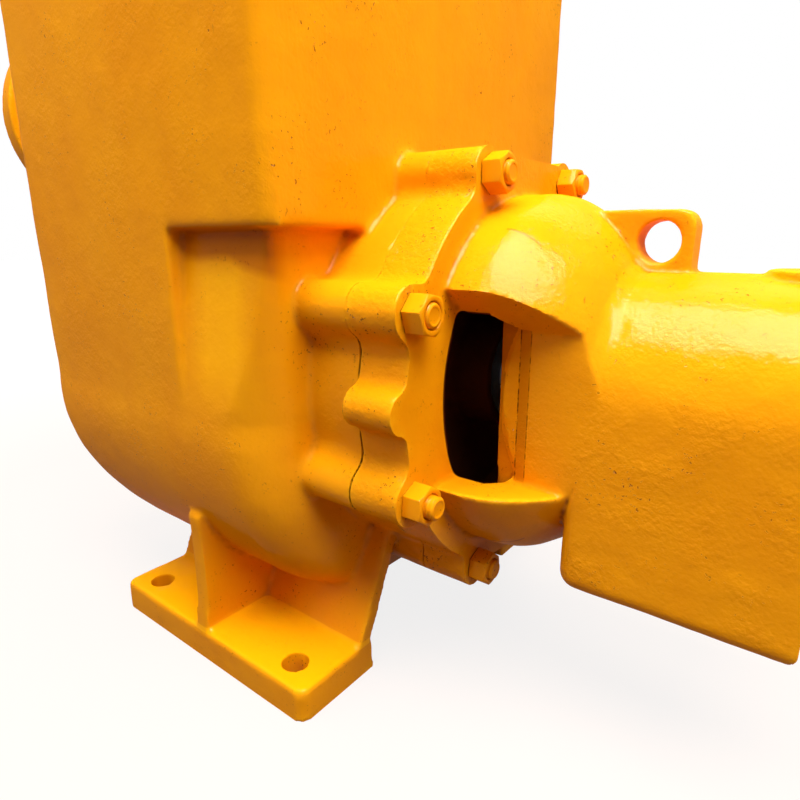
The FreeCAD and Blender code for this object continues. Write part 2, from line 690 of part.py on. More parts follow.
def make_housing():
    """The bearing housing: lobed flange, windowed bell, round back, sump and lifting lug."""
    f = flange_face_x
    lobes = stud_lobes() + [(0.0, jack_lobe_pitch_r, jack_lobe_r, jack_blend_r),
                            (180.0, jack_lobe_pitch_r, jack_lobe_r, jack_blend_r)]
    flange = lobed_face(flange_back_x, joint_r, lobes).extrude(V(flange_thickness, 0, 0))
    flat_y, flat_z = stud_pcd / 2 * math.sin(math.radians(22.5)), stud_pcd / 2 * math.cos(math.radians(22.5))
    bridge = box(flange_back_x, f, -flat_y, flat_y, axis_z + 60, axis_z + flat_z + lobe_r - 3)
    shoulder_x = f + bell_straight + bell_shoulder_run
    waist_x = shoulder_x + bell_waist_run
    shoulder_r = bell_r - bell_shoulder_drop
    waist_r = shoulder_r - bell_waist_drop
    root_x = flange_back_x + 5
    straight_x = f + bell_straight
    edges = [Part.makeLine(V(root_x, 0, axis_z), V(root_x, 0, axis_z + bell_r)),
             Part.makeLine(V(root_x, 0, axis_z + bell_r), V(straight_x, 0, axis_z + bell_r)),
             Part.Arc(V(straight_x, 0, axis_z + bell_r),
                      V(straight_x + bell_shoulder_run / 2, 0, axis_z + bell_r - bell_shoulder_drop / 4),
                      V(shoulder_x, 0, axis_z + shoulder_r)).toShape(),
             Part.Arc(V(shoulder_x, 0, axis_z + shoulder_r),
                      V(shoulder_x + bell_waist_run / 2 + 3, 0, axis_z + (shoulder_r + waist_r) / 2 + 2),
                      V(waist_x, 0, axis_z + waist_r)).toShape(),
             Part.makeLine(V(waist_x, 0, axis_z + waist_r), V(waist_x + body_blend_run, 0, axis_z + body_r)),
             Part.makeLine(V(waist_x + body_blend_run, 0, axis_z + body_r),
                           V(housing_end_x, 0, axis_z + body_r)),
             Part.makeLine(V(housing_end_x, 0, axis_z + body_r), V(housing_end_x, 0, axis_z)),
             Part.makeLine(V(housing_end_x, 0, axis_z), V(root_x, 0, axis_z))]
    bell = Part.Face(Part.Wire(edges)).revolve(V(0, 0, axis_z), V(1, 0, 0), 360)
    sump = box(f + sump_start, housing_end_x, -body_r, body_r, axis_z - sump_drop, axis_z)
    low_edges = [e for e in sump.Edges if abs(e.Vertexes[0].Point.z - (axis_z - sump_drop)) < 0.01
                 and abs(e.Vertexes[-1].Point.z - (axis_z - sump_drop)) < 0.01]
    front_edges = [e for e in sump.Edges if abs(e.Vertexes[0].Point.x - (f + sump_start)) < 0.01
                   and abs(e.tangentAt(e.FirstParameter).z) > 0.9]
    sump = sump.makeFillet(sump_corner_r, low_edges + front_edges)
    lug = box(f + 40, f + lug_end, -lug_thickness / 2, lug_thickness / 2, axis_z + 60, axis_z + lug_rise)
    lug_corner = [e for e in lug.Edges if all(abs(v.Point.x - f - lug_end) < 0.01
                                              and abs(v.Point.z - axis_z - lug_rise) < 0.01
                                              for v in e.Vertexes)]
    lug = lug.makeFillet(lug_corner_r, lug_corner)
    vent_pad = rod_z(axis_z, axis_z + body_r + vent_pad_height, vent_pad_r, f + vent_pad_x, 0)
    outer = fuse([flange, bridge, bell, sump, lug, vent_pad])
    mouth = revolve_x([(flange_back_x - 1, 0), (flange_back_x - 1, bell_mouth_r),
                       (wall_x - 26, bell_mouth_r), (wall_x, bell_mouth_r - bell_inner_slope), (wall_x, 0)])
    boss_x = wall_x - wall_boss_length
    wall_boss = revolve_x([(boss_x, 0), (boss_x, body_r), (boss_x + 11, wall_boss_r), (wall_x, wall_boss_r),
                           (wall_x, 0)])
    wall_boss = wall_boss.common(box(boss_x, wall_x, -body_r, body_r, axis_z - 120, axis_z + 120))
    block = box(wall_x - wall_block_length, wall_x, -wall_block_width / 2, wall_block_width / 2,
                axis_z - wall_block_height / 2, axis_z + wall_block_height / 2)
    mouth = cut(mouth, [wall_boss, block])
    windows = []
    for side in (-1, 1):
        reach = bell_r + 20
        windows.append(prism_x([(side * body_r, axis_z + window_low), (side * reach, axis_z + window_low),
                                (side * reach, axis_z + window_high + window_draft * (reach - body_r)),
                                (side * body_r, axis_z + window_high)], f, f + 100))
    chamber_x = f + oil_chamber_start
    oil_r = body_r - sump_wall
    oil = fuse([rod_x(chamber_x, chamber_x + oil_chamber_length, oil_r),
                box(chamber_x, chamber_x + oil_chamber_length, -oil_r, oil_r,
                    axis_z - sump_drop + sump_wall, axis_z)])
    bores = [rod_x(wall_x - wall_block_length - 1, wall_x + 10, 36.0),
             rod_x(inboard_x, chamber_x + 1, bearing_outer_r),
             rod_x(outboard_x, housing_end_x + 1, bearing_outer_r),
             rod_x(chamber_x, outboard_x + 1, bearing_outer_r - 6)]
    eye = rod_y(-lug_thickness, lug_thickness, eye_d / 2, f + eye_x, axis_z + eye_rise)
    vent = rod_z(axis_z + body_r - 14, axis_z + body_r + 10, 7.0, f + vent_pad_x, 0)
    drain = rod_z(axis_z - sump_drop - 1, axis_z - sump_drop + sump_wall + 1, 9.0, f + oil_drain_x, 0)
    gauge = rod_y(body_r - sump_wall - 1, body_r + 1, gauge_r, f + gauge_x, axis_z - gauge_drop)
    stud_holes = [rod_x(flange_back_x - 1, f + 1, stud_hole_d / 2, y, z) for y, z in stud_places()]
    screw_holes = [rod_x(flange_back_x - 1, flange_back_x + 22, 5.0, y, axis_z + z)
                   for y, z in on_circle(seal_screw_pcd, seal_screw_count, 45.0)]
    cap_holes = [rod_x(housing_end_x - 18, housing_end_x + 1, 5.0, y, axis_z + z)
                 for y, z in on_circle(cap_screw_pcd(), 6, 0.0)]
    return cut(outer, [mouth, oil] + windows + bores + [eye, vent, drain, gauge] + stud_holes
               + screw_holes + cap_holes)


def cap_screw_pcd():
    """Bolt circle of the outboard bearing cap."""
    return 2 * (bearing_outer_r + 11)


def make_joint_hardware():
    """Shims, studs and nuts between casing and bearing housing."""
    shim = lobed_face(joint_x, joint_r - 3, [(a, r, s - 3, b) for a, r, s, b in stud_lobes()])
    shim = shim.extrude(V(shim_thickness, 0, 0))
    shim = cut(shim, [rod_x(joint_x - 1, joint_x + 3, housing_bore_d / 2 + 1)]
               + [rod_x(joint_x - 1, joint_x + 3, stud_hole_d / 2, y, z) for y, z in stud_places()])
    studs, nuts = [], []
    for y, z in stud_places():
        stud = rod_x(joint_x - 36, nut_x + stud_end, stud_d / 2, y, z)
        tip = [e for e in stud.Edges if e.BoundBox.XLength < 0.01 and e.BoundBox.XMin > nut_x]
        studs.append(stud.makeChamfer(1.5, tip))
        nuts.append(nut_x_bar(flange_face_x, nut_flats, nut_height, stud_d / 2, y, z))
    return {"joint_shims": shim, "housing_studs": Part.makeCompound(studs),
            "housing_nuts": Part.makeCompound(nuts)}


def make_seal_parts():
    """Seal plate with its screws and O-ring, and the mechanical seal."""
    plate_r = housing_bore_d / 2 - seal_plate_fit
    end_x = flange_back_x + seal_hub_length
    plate = fuse([rod_x(seal_plate_x, flange_back_x, plate_r), rod_x(flange_back_x - 2, end_x, seal_hub_r)])
    ring_x = seal_plate_x + 8
    groove = o_ring_groove(ring_x, plate_r)
    seat_x = seal_plate_x + 2
    heads, holes = [], []
    for y, z in on_circle(seal_screw_pcd, seal_screw_count, 45.0):
        head = rod_x(seal_plate_x + 2, seal_plate_x + 12, 8.0, y, axis_z + z)
        socket = hex_bar(seal_plate_x + 1, 6.0, 8.0, y, axis_z + z)
        shank = rod_x(seal_plate_x + 11, flange_back_x + 20, 5.0, y, axis_z + z)
        heads.append(fuse([head, shank]).cut(socket))
        holes.append(rod_x(seal_plate_x - 1, seal_plate_x + 12, 9.0, y, axis_z + z))
        holes.append(rod_x(seal_plate_x, flange_back_x + 1, 5.5, y, axis_z + z))
    plate = cut(plate, [groove, rod_x(seat_x, end_x + 1, seal_bore_r),
                        rod_x(seal_plate_x - 1, seat_x + 1, 32.0)] + holes)
    o_ring = seated_o_ring(ring_x, plate_r)
    seat = rod_x(seat_x, seat_x + 10, seal_bore_r).cut(rod_x(seat_x - 1, seat_x + 11, sleeve_r + 1.5))
    head_x = seat_x + 10 + body_gap
    head = fuse([rod_x(head_x, head_x + 8, 34.0), rod_x(head_x + 8, head_x + 16, 36.0)])
    head = head.cut(rod_x(head_x - 1, head_x + 17, sleeve_r))
    coils = []
    coil_r, wire_r, turns = 31.0, 1.5, 4
    for i in range(turns):
        coils.append(wire_ring(head_x + 16 + wire_r + i * 2 * wire_r, coil_r, wire_r))
    collar_x = head_x + 16 + turns * 2 * wire_r
    collar = rod_x(collar_x, collar_x + 8, sleeve_r + 10).cut(rod_x(collar_x - 1, collar_x + 9, sleeve_r))
    lip = rod_x(end_x - 8, end_x, seal_bore_r).cut(rod_x(end_x - 9, end_x + 1, sleeve_r + running_gap))
    return {"seal_plate": plate, "seal_plate_screws": Part.makeCompound(heads), "seal_plate_o_ring": o_ring,
            "seal_seat": seat, "seal_head": head, "seal_spring": Part.makeCompound(coils + [collar]),
            "seal_plate_lip_seal": lip}


def vane(start_deg):
    """One long curved vane of the two-vane impeller, wrapped back from eye to rim."""
    steps, wrap = 10, math.radians(vane_wrap)
    start = math.radians(start_deg)
    inner, outer = [], []
    for i in range(steps + 1):
        share = i / steps
        r = vane_inner_r + (impeller_r - 1.0 - vane_inner_r) * share
        angle = start + wrap * share
        half = (vane_thickness / 2) / r
        inner.append(V(impeller_front_x, r * math.cos(angle - half), axis_z + r * math.sin(angle - half)))
        outer.append(V(impeller_front_x, r * math.cos(angle + half), axis_z + r * math.sin(angle + half)))
    edges = []
    for points in (inner, outer):
        curve = Part.BSplineCurve()
        curve.interpolate(points)
        edges.append(curve.toShape())
    wire = Part.Wire([edges[0], Part.makeLine(inner[-1], outer[-1]), edges[1],
                      Part.makeLine(outer[0], inner[0])])
    return Part.Face(wire).extrude(V(impeller_width + 1, 0, 0))


def make_rotor():
    """Impeller, shaft, sleeve and what turns with them."""
    shroud = rod_x(impeller_front_x + impeller_width, impeller_back_x, impeller_r)
    hub = revolve_x([(impeller_front_x + 14, 0), (impeller_front_x + 14, hub_r - 10),
                     (impeller_front_x + impeller_width, hub_r + 8), (impeller_back_x, hub_r + 8),
                     (impeller_back_x, 0)])
    impeller = fuse([shroud, hub, vane(0.0), vane(180.0)])
    bore_r = shaft_seal_r - 4
    screw_x = impeller_front_x + 14
    impeller = cut(impeller, [rod_x(screw_x - 1, impeller_back_x + 1, bore_r)])
    shaft_end_x = shoulder_x + coupling_length
    seal_end_x = flange_back_x + seal_hub_length + 10
    steps = [(screw_x, impeller_back_x, bore_r), (impeller_back_x, seal_end_x, shaft_seal_r),
             (seal_end_x, inboard_x + bearing_width, journal_r),
             (inboard_x + bearing_width, outboard_x, shaft_body_r),
             (outboard_x, housing_end_x - 6, journal_r), (housing_end_x - 6, shoulder_x, oil_journal_r),
             (shoulder_x, shaft_end_x, coupling_r)]
    shaft = fuse([rod_x(x0, x1, r) for x0, x1, r in steps])
    end_edges = [e for e in shaft.Edges if e.BoundBox.XLength < 0.01 and e.BoundBox.XMin > shaft_end_x - 0.1]
    shaft = shaft.makeChamfer(2.0, end_edges)
    slot_x0 = shaft_end_x - 8 - key_length
    slot = fuse([box(slot_x0 + key_width / 2, shaft_end_x - 8 - key_width / 2, -key_width / 2, key_width / 2,
                     axis_z + coupling_r - key_depth, axis_z + coupling_r + 1),
                 rod_z(axis_z + coupling_r - key_depth, axis_z + coupling_r + 1, key_width / 2,
                       slot_x0 + key_width / 2, 0),
                 rod_z(axis_z + coupling_r - key_depth, axis_z + coupling_r + 1, key_width / 2,
                       shaft_end_x - 8 - key_width / 2, 0)])
    screw_bore = rod_x(screw_x - 1, screw_x + 30, 6.0)
    shaft = cut(shaft, [slot, screw_bore])
    washer = rod_x(screw_x - 5, screw_x, hub_r - 12)
    bolt = fuse([washer, hex_bar(screw_x - 13, 8.0, 19.0, 0, axis_z, -1),
                 rod_x(screw_x - 6, screw_x + 29, 6.0)])
    sleeve = rod_x(impeller_back_x, seal_end_x, sleeve_r).cut(
        rod_x(impeller_back_x - 1, seal_end_x + 1, shaft_seal_r))
    slinger_x = seal_end_x
    slinger = revolve_x([(slinger_x, journal_r), (slinger_x, sleeve_r + 2), (slinger_x + 3, 40.0),
                         (slinger_x + 6, 40.0), (slinger_x + 9, sleeve_r + 2), (slinger_x + 9, journal_r)])
    return {"impeller": impeller, "impeller_bolt": bolt, "shaft": shaft, "shaft_sleeve": sleeve,
            "slinger_ring": slinger}


def races(x0, lip_r):
    """Inner and outer race of a bearing; the outer carries a shield on each side down to lip_r."""
    outer = rod_x(x0, x0 + bearing_width, bearing_outer_r).cut(
        rod_x(x0 - 1, x0 + bearing_width + 1, race_mid_r + race_land))
    inner = rod_x(x0, x0 + bearing_width, race_mid_r - race_land).cut(
        rod_x(x0 - 1, x0 + bearing_width + 1, journal_r))
    shields = [rod_x(edge_x, edge_x + 1, race_mid_r + race_land + 1).cut(
        rod_x(edge_x - 1, edge_x + 2, lip_r)) for edge_x in (x0 + 1, x0 + bearing_width - 2)]
    return fuse([outer] + shields), inner


def ball_bearing(x0):
    """A deep-groove ball bearing: outer race with shields and balls, and inner race."""
    outer, inner = races(x0, race_mid_r - race_land + body_gap)
    middle = V(x0 + bearing_width / 2, 0, axis_z)
    outer = outer.cut(Part.makeTorus(race_mid_r, ball_r, middle, V(1, 0, 0)))
    inner = inner.cut(Part.makeTorus(race_mid_r, ball_r + body_gap, middle, V(1, 0, 0)))
    balls = [Part.makeSphere(ball_r, V(middle.x, y, axis_z + z))
             for y, z in on_circle(2 * race_mid_r, 8, 0.0)]
    return Part.makeCompound([outer] + balls), inner


def roller_bearing(x0):
    """A cylindrical roller bearing: outer race with shields and rollers, and inner race."""
    outer, inner = races(x0, race_mid_r - race_land + body_gap)
    roller_r = race_land - body_gap / 2
    shift = body_gap / 2
    rollers = [rod_x(x0 + 4, x0 + bearing_width - 4, roller_r, y, axis_z + z)
               for y, z in on_circle(2 * (race_mid_r + shift), 12, 0.0)]
    return Part.makeCompound([outer] + rollers), inner


def make_bearings():
    """Both bearings, their lip seals, lock ring and the outboard cap."""
    inboard, inboard_inner = roller_bearing(inboard_x)
    outboard, outboard_inner = ball_bearing(outboard_x)
    lip_x = wall_x - wall_block_length
    lip = rod_x(lip_x + 2, lip_x + 12, 36.0).cut(rod_x(lip_x + 1, lip_x + 13, journal_r + running_gap))
    gasket_x = housing_end_x
    cap_r = bearing_outer_r + 20
    face_x = cap_x + cap_thickness
    cap = fuse([rod_x(cap_x, face_x, cap_r), rod_x(cap_x - 10, cap_x + 1, bearing_outer_r),
                rod_x(face_x - 1, face_x + cap_neck, 38.0)])
    cap = cut(cap, [rod_x(cap_x - 11, cap_x + 6, bearing_outer_r - 8),
                    rod_x(cap_x + 5, face_x + cap_neck + 1, 30.0)])
    gasket = rod_x(gasket_x, cap_x, cap_r - 1).cut(rod_x(gasket_x - 1, cap_x + 1, bearing_outer_r))
    screws = []
    holes = []
    for y, z in on_circle(cap_screw_pcd(), 6, 0.0):
        shank = rod_x(gasket_x - 16, face_x, 5.0, y, axis_z + z)
        screws.append(fuse([shank, hex_bar(face_x, 7.0, 16.0, y, axis_z + z)]))
        holes.append(rod_x(gasket_x - 1, face_x + 1, 5.0, y, axis_z + z))
    lip_out = rod_x(face_x - 8, face_x + 2, 30.0).cut(rod_x(face_x - 9, face_x + 3,
                                                            oil_journal_r + running_gap))
    lock = rod_x(outboard_x + bearing_width, outboard_x + bearing_width + 5, 30.0).cut(
        rod_x(outboard_x, outboard_x + bearing_width + 6, journal_r))
    return {"inboard_bearing_outer": inboard, "inboard_bearing_inner": inboard_inner,
            "outboard_bearing_outer": outboard, "outboard_bearing_inner": outboard_inner,
            "inboard_oil_seal": lip, "outboard_oil_seal": lip_out, "bearing_lock_ring": lock,
            "bearing_cap": cut(cap, holes), "bearing_cap_gasket": cut(gasket, holes),
            "bearing_cap_screws": Part.makeCompound(screws)}


def make_oil_fittings():
    """Air vent, oil level gauge and drain plug of the bearing housing."""
    f = flange_face_x
    top = axis_z + body_r + vent_pad_height
    vent = fuse([rod_z(top - 12, top + 1, 7.0, f + vent_pad_x, 0),
                 turn_to_z(hex_bar(0, 7.0, 14.0, 0, 0), f + vent_pad_x, 0, top),
                 rod_z(top + 6, top + 12, 6.0, f + vent_pad_x, 0)])
    low = axis_z - sump_drop
    plug = fuse([rod_z(low - 1, low + 9, 9.0, f + oil_drain_x, 0),
                 rod_z(low - 6, low, 13.0, f + oil_drain_x, 0)])
    y = body_r
    spot = (f + gauge_x, axis_z - gauge_drop)
    rim = rod_y(y - 8, y + 6, gauge_r, *spot).fuse(rod_y(y, y + 6, gauge_r + 4, *spot))
    rim = rim.cut(rod_y(y - 9, y + 7, gauge_r - 4, *spot))
    lens = rod_y(y - 2, y + 4, gauge_r - 4, *spot)
    return {"air_vent": vent, "oil_drain_plug": plug, "oil_gauge_ring": rim, "oil_gauge_glass": lens}


def make_front_cover():
    """Wear plate on its spacers, removable cover plate with handle, relief valve, studs and hand nuts."""
    seat_x = chamber_suction_x - cover_pad_height
    face_x = seat_x - cover_thickness
    wear = rod_x(partition_x, wear_face_x, wear_plate_r).cut(rod_x(partition_x - 1, wear_face_x + 1, eye_r))
    plate = [rod_x(face_x, seat_x, cover_pad_r), rod_x(seat_x - 1, seat_x + cover_spigot, cover_bore_r - 0.5)]
    for y, z in cover_stud_places():
        plate.append(rod_x(face_x, seat_x, cover_lobe_r, y, axis_z + z))
    plate.append(rod_x(face_x - cover_boss_height, face_x + 1, cover_boss_r))
    plate = fuse(plate)
    ring_x = seat_x + 10
    groove_r = cover_bore_r - 0.5
    groove = o_ring_groove(ring_x, groove_r)
    valve_z = axis_z + relief_rise
    spacers = [rod_x(seat_x + cover_spigot, partition_x, spacer_d / 2, y, axis_z + z)
               for y, z in on_circle(spacer_pcd, 4, 45.0)]
    stud_holes = [rod_x(face_x - 1, seat_x + 1, cover_stud_d / 2 + 1, y, axis_z + z)
                  for y, z in cover_stud_places()]
    front = face_x - cover_boss_height
    plate = cut(plate, [groove, rod_x(front - 1, seat_x + cover_spigot + 1, relief_thread_r, 0, valve_z)]
                + stud_holes)
    o_ring = seated_o_ring(ring_x, groove_r)
    handle_z, grip_x = axis_z - cover_handle_drop, front - cover_handle_reach
    r, half = cover_handle_r, cover_handle_half
    grip = rod_y(-half, half, r, grip_x, handle_z)
    posts = [rod_x(grip_x, front, r, s * half, handle_z) for s in (-1, 1)]
    knuckles = [Part.makeSphere(r, V(grip_x, s * half, handle_z)) for s in (-1, 1)]
    handle = fuse([grip] + posts + knuckles)
    relief = fuse([rod_x(front, seat_x + relief_reach, relief_thread_r, 0, valve_z),
                   hex_bar(front - 12, 12.0, 32.0, 0, valve_z, -1),
                   rod_x(front - 26, front - 11, 12.0, 0, valve_z)])
    relief = relief.cut(rod_x(front - 20, seat_x + relief_reach + 1, 7.0, 0, valve_z))
    studs = [rod_x(face_x - hand_nut_height - 6, seat_x + cover_stud_grip, cover_stud_d / 2, y, axis_z + z)
             for y, z in cover_stud_places()]
    nodes = {"wear_plate": wear, "wear_plate_spacers": Part.makeCompound(spacers), "front_cover": plate,
             "front_cover_o_ring": o_ring, "front_cover_handle": handle, "relief_valve": relief,
             "front_cover_studs": Part.makeCompound(studs)}
    for number, (y, z) in enumerate(cover_stud_places(), 1):
        nodes["hand_nut_%d" % number] = hand_nut(face_x, y, axis_z + z)
    return nodes


def hand_nut(face_x, y, z):
    """A cast hand nut: round hub with two tapered wings."""
    x0 = face_x - body_gap - hand_nut_height
    x1 = face_x - body_gap
    hub = rod_x(x0, x1, hand_nut_r, y, z)
    wings = prism_x([(y - hand_nut_wing, z - 5), (y, z - 9), (y + hand_nut_wing, z - 5),
                     (y + hand_nut_wing, z + 5), (y, z + 9), (y - hand_nut_wing, z + 5)], x0 + 2, x0 + 16)
    tips = [rod_x(x0 + 2, x0 + 16, 7.0, y + s * hand_nut_wing, z) for s in (-1, 1)]
    nut = fuse([hub, wings] + tips)
    return nut.cut(rod_x(x0 - 1, x1 + 1, cover_stud_d / 2 + running_gap, y, z))


def pipe_holes_x(x0, x1):
    """Bolt holes of the suction flange."""
    return [rod_x(x0 - 1, x1 + 1, pipe_hole_d / 2, y, suction_z + z)
            for y, z in on_circle(pipe_bolt_pcd, pipe_bolt_count, 22.5)]


def make_check_valve():
    """The suction check valve: box with its flanges, flap, pin, access cover and fasteners."""
    joint = chamber_suction_x - cover_pad_height
    x1 = joint - gasket_thickness
    face = x1 - valve_box_length
    seat_x = face + pipe_flange_thickness
    inner_r = valve_box_r - valve_box_wall
    top_z = suction_z + valve_box_r + 8
    pad_x0, pad_x1, pad_half = seat_x + 18, x1 - valve_joint_thickness - 26, 58.0
    outer = fuse([rod_x(x1 - valve_joint_thickness, x1, valve_joint_r, 0, suction_z),
                  rod_x(seat_x - 2, x1 - valve_joint_thickness + 2, valve_box_r, 0, suction_z),
                  rod_x(face, seat_x, pipe_flange_r, 0, suction_z),
                  box(pad_x0, pad_x1, -pad_half, pad_half, suction_z + 20, top_z)])
    raised = rod_x(seat_x - 3, seat_x + seat_rise, seat_ring_r, 0, suction_z)
    opening_x0, opening_x1, opening_half = pad_x0 + 16, pad_x1 - 16, pad_half - 20
    studs = on_circle(valve_joint_pcd, 6, 30.0)
    flap_x = seat_x + seat_rise + body_gap
    pivot_x = flap_x + flap_pivot_setback
    pivot_z = suction_z + flap_pivot_rise
    ear_half = flap_ear_thickness / 2
    ears = [box(seat_x - 1, pivot_x + flap_ear_drop, s * flap_ear_y - ear_half, s * flap_ear_y + ear_half,
                pivot_z - flap_ear_drop, pivot_z + flap_ear_rise) for s in (-1, 1)]
    pin_half = flap_ear_y + ear_half - 1
    hollow = rod_x(seat_x, x1 + 1, inner_r, 0, suction_z)
    body = fuse([cut(outer, [hollow, box(opening_x0, opening_x1, -opening_half, opening_half, suction_z,
                                         top_z + 1)]), raised] + ears)
    body = cut(body, [rod_x(face - 1, seat_x + seat_rise + 1, pipe_bore_r, 0, suction_z),
                      rod_y(-pin_half, pin_half, flap_pin_r, pivot_x, pivot_z)] + pipe_holes_x(face, seat_x)
               + [rod_x(x1 - valve_joint_thickness - 1, x1 + 1, valve_stud_d / 2 + 1, y, suction_z + z)
                  for y, z in studs])
    back_x = flap_x + flap_thickness
    disc = rod_x(flap_x, back_x, flap_r, 0, suction_z)
    weight = rod_x(flap_x, back_x + flap_weight_length, flap_weight_r, 0, suction_z)
    arm_half, knuckle_half = flap_arm_width / 2, flap_knuckle_length / 2
    arm = fuse([box(back_x - 2, back_x + 6, -arm_half, arm_half, suction_z, pivot_z),
                rod_y(-knuckle_half, knuckle_half, flap_knuckle_r, pivot_x, pivot_z)])
    flap = fuse([disc, weight, arm])
    flap = flap.cut(rod_y(-pin_half, pin_half, flap_pin_r + running_gap, pivot_x, pivot_z))
    facing = rod_x(flap_x, flap_x + 3, flap_r - 3, 0, suction_z)
    pin = rod_y(-pin_half, pin_half, flap_pin_r, pivot_x, pivot_z)
    gasket = rod_x(x1, joint, valve_joint_r - 1, 0, suction_z)
    gasket = cut(gasket, [rod_x(x1 - 1, joint + 1, inner_r, 0, suction_z)]
                 + [rod_x(x1 - 1, joint + 1, valve_stud_d / 2 + 1, y, suction_z + z) for y, z in studs])
    stud_set, nut_set = [], []
    nut_x0 = x1 - valve_joint_thickness - valve_nut_height
    for y, z in studs:
        stud_set.append(rod_x(nut_x0 - 4, joint + cover_pad_height + 8, valve_stud_d / 2, y, suction_z + z))
        nut_set.append(nut_x_bar(nut_x0, valve_nut_flats, valve_nut_height, valve_stud_d / 2, y,
                                 suction_z + z, -1))
    lid_gasket = box(pad_x0 + 1, pad_x1 - 1, 1 - pad_half, pad_half - 1, top_z, top_z + gasket_thickness)
    lid_gasket = lid_gasket.cut(box(opening_x0, opening_x1, -opening_half, opening_half, top_z - 1,
                                    top_z + 4))
    lid_z = top_z + gasket_thickness
    lid = box(pad_x0, pad_x1, -pad_half, pad_half, lid_z, lid_z + 12)
    lid = lid.makeFillet(10.0, [e for e in lid.Edges if abs(e.tangentAt(e.FirstParameter).z) > 0.9])
    rib = box(pad_x0 + 22, pad_x1 - 22, -5, 5, lid_z + 11, lid_z + 20)
    lid = fuse([lid, rib])
    bolts, bolt_holes = [], []
    for x in (pad_x0 + 9, pad_x1 - 9):
        for y in (9 - pad_half, pad_half - 9):
            shank = rod_z(top_z - 14, lid_z + 12, 5.0, x, y)
            bolts.append(shank.fuse(turn_to_z(hex_bar(0, 7.0, 16.0, 0, 0), x, y, lid_z + 12)))
            bolt_holes.append(rod_z(top_z - 14, lid_z + 13, 5.0, x, y))
    return {"check_valve_body": cut(body, bolt_holes), "check_valve_flap": flap.cut(facing),
            "flap_facing": facing, "flap_pin": pin, "check_valve_gasket": gasket,
            "check_valve_fasteners": Part.makeCompound(stud_set + nut_set),
            "valve_access_gasket": cut(lid_gasket, bolt_holes), "valve_access_cover": cut(lid, bolt_holes),
            "valve_access_bolts": Part.makeCompound(bolts)}


def make_discharge():
    """The discharge flange on the deck, with its gasket, studs and nuts."""
    x = nut_x + discharge_x
    pad_z = deck_z + discharge_pad_height
    base_z = pad_z + gasket_thickness
    half = discharge_pad / 2
    top_z = base_z + discharge_height
    holes = [rod_z(deck_z, base_z + discharge_base_thickness + 1, valve_stud_d / 2 + 0.5, px, py)
             for px, py in discharge_stud_places()]
    gasket = box(x - half + 1, x + half - 1, 1 - half, half - 1, pad_z, base_z)
    gasket = cut(gasket, [rod_z(pad_z - 1, base_z + 1, pipe_bore_r, x, 0)] + holes)
    base = box(x - half, x + half, -half, half, base_z, base_z + discharge_base_thickness)
    base = base.makeFillet(18.0, [e for e in base.Edges if abs(e.tangentAt(e.FirstParameter).z) > 0.9])
    neck = rod_z(base_z, top_z, pipe_bore_r + 12, x, 0)
    ring = rod_z(top_z - pipe_flange_thickness, top_z, pipe_flange_r, x, 0)
    flange = fuse([base, neck, ring])
    pipe_holes = [rod_z(top_z - pipe_flange_thickness - 1, top_z + 1, pipe_hole_d / 2, x + a, b)
                  for a, b in on_circle(pipe_bolt_pcd, pipe_bolt_count, 22.5)]
    flange = cut(flange, [rod_z(base_z - 1, top_z + 1, pipe_bore_r, x, 0)] + holes + pipe_holes)
    studs, nuts = [], []
    nut_z = base_z + discharge_base_thickness
    nut = nut_x_bar(0, valve_nut_flats, valve_nut_height, valve_stud_d / 2, 0, 0)
    for px, py in discharge_stud_places():
        studs.append(rod_z(deck_z - 8, nut_z + valve_nut_height + 3, valve_stud_d / 2, px, py))
        nuts.append(turn_to_z(nut, px, py, nut_z))
    return {"discharge_flange": flange, "discharge_gasket": gasket,
            "discharge_fasteners": Part.makeCompound(studs + nuts)}


def make_fill_port():
    """Fill cover with gasket, swinging clamp bar on its pin, and the clamp screw with its tee handle."""
    rim, cover_top, bar_low, bar_top = fill_levels()
    x = nut_x + fill_x
    gasket = rod_z(rim, rim + gasket_thickness, fill_neck_r - 1, x, 0).cut(
        rod_z(rim - 1, rim + gasket_thickness + 1, fill_bore_r, x, 0))
    cover = fuse([rod_z(rim + gasket_thickness, cover_top, fill_neck_r, x, 0),
                  rod_z(rim - 5, rim + gasket_thickness + 1, fill_bore_r - 1, x, 0)])
    half = clamp_bar_width / 2
    bar = box(x - half, x + half, -clamp_reach - 14, clamp_reach, bar_low, bar_top)
    bar = fuse([bar, rod_z(bar_low, bar_top, half, x, clamp_reach)])
    bar = cut(bar, [rod_z(bar_low - 1, bar_top + 1, clamp_pin_r + running_gap, x, clamp_reach),
                    rod_z(bar_low - 1, bar_top + 1, clamp_screw_r + running_gap, x, 0)])
    pin = fuse([rod_z(bar_low - clamp_pin_depth, bar_top + body_gap + 1, clamp_pin_r, x, clamp_reach),
                rod_z(bar_top + body_gap, bar_top + body_gap + 5, clamp_pin_r + 4, x, clamp_reach)])
    foot_z = cover_top + body_gap
    handle_z = bar_top + 22
    screw = fuse([rod_z(foot_z, foot_z + 5, 12.0, x, 0), rod_z(foot_z + 4, handle_z + 6, clamp_screw_r, x, 0),
                  rod_z(handle_z - 8, handle_z + 8, 11.0, x, 0)])
    handle = rod_y(-clamp_handle_length / 2, clamp_handle_length / 2, 5.0, x, handle_z)
    knobs = [Part.makeSphere(7.0, V(x, s * clamp_handle_length / 2, handle_z)) for s in (-1, 1)]
    handle = fuse([handle] + knobs)
    return {"fill_cover": cover, "fill_gasket": gasket, "clamp_bar": bar, "clamp_pin": pin,
            "clamp_screw": Part.makeCompound([screw.cut(handle), handle])}


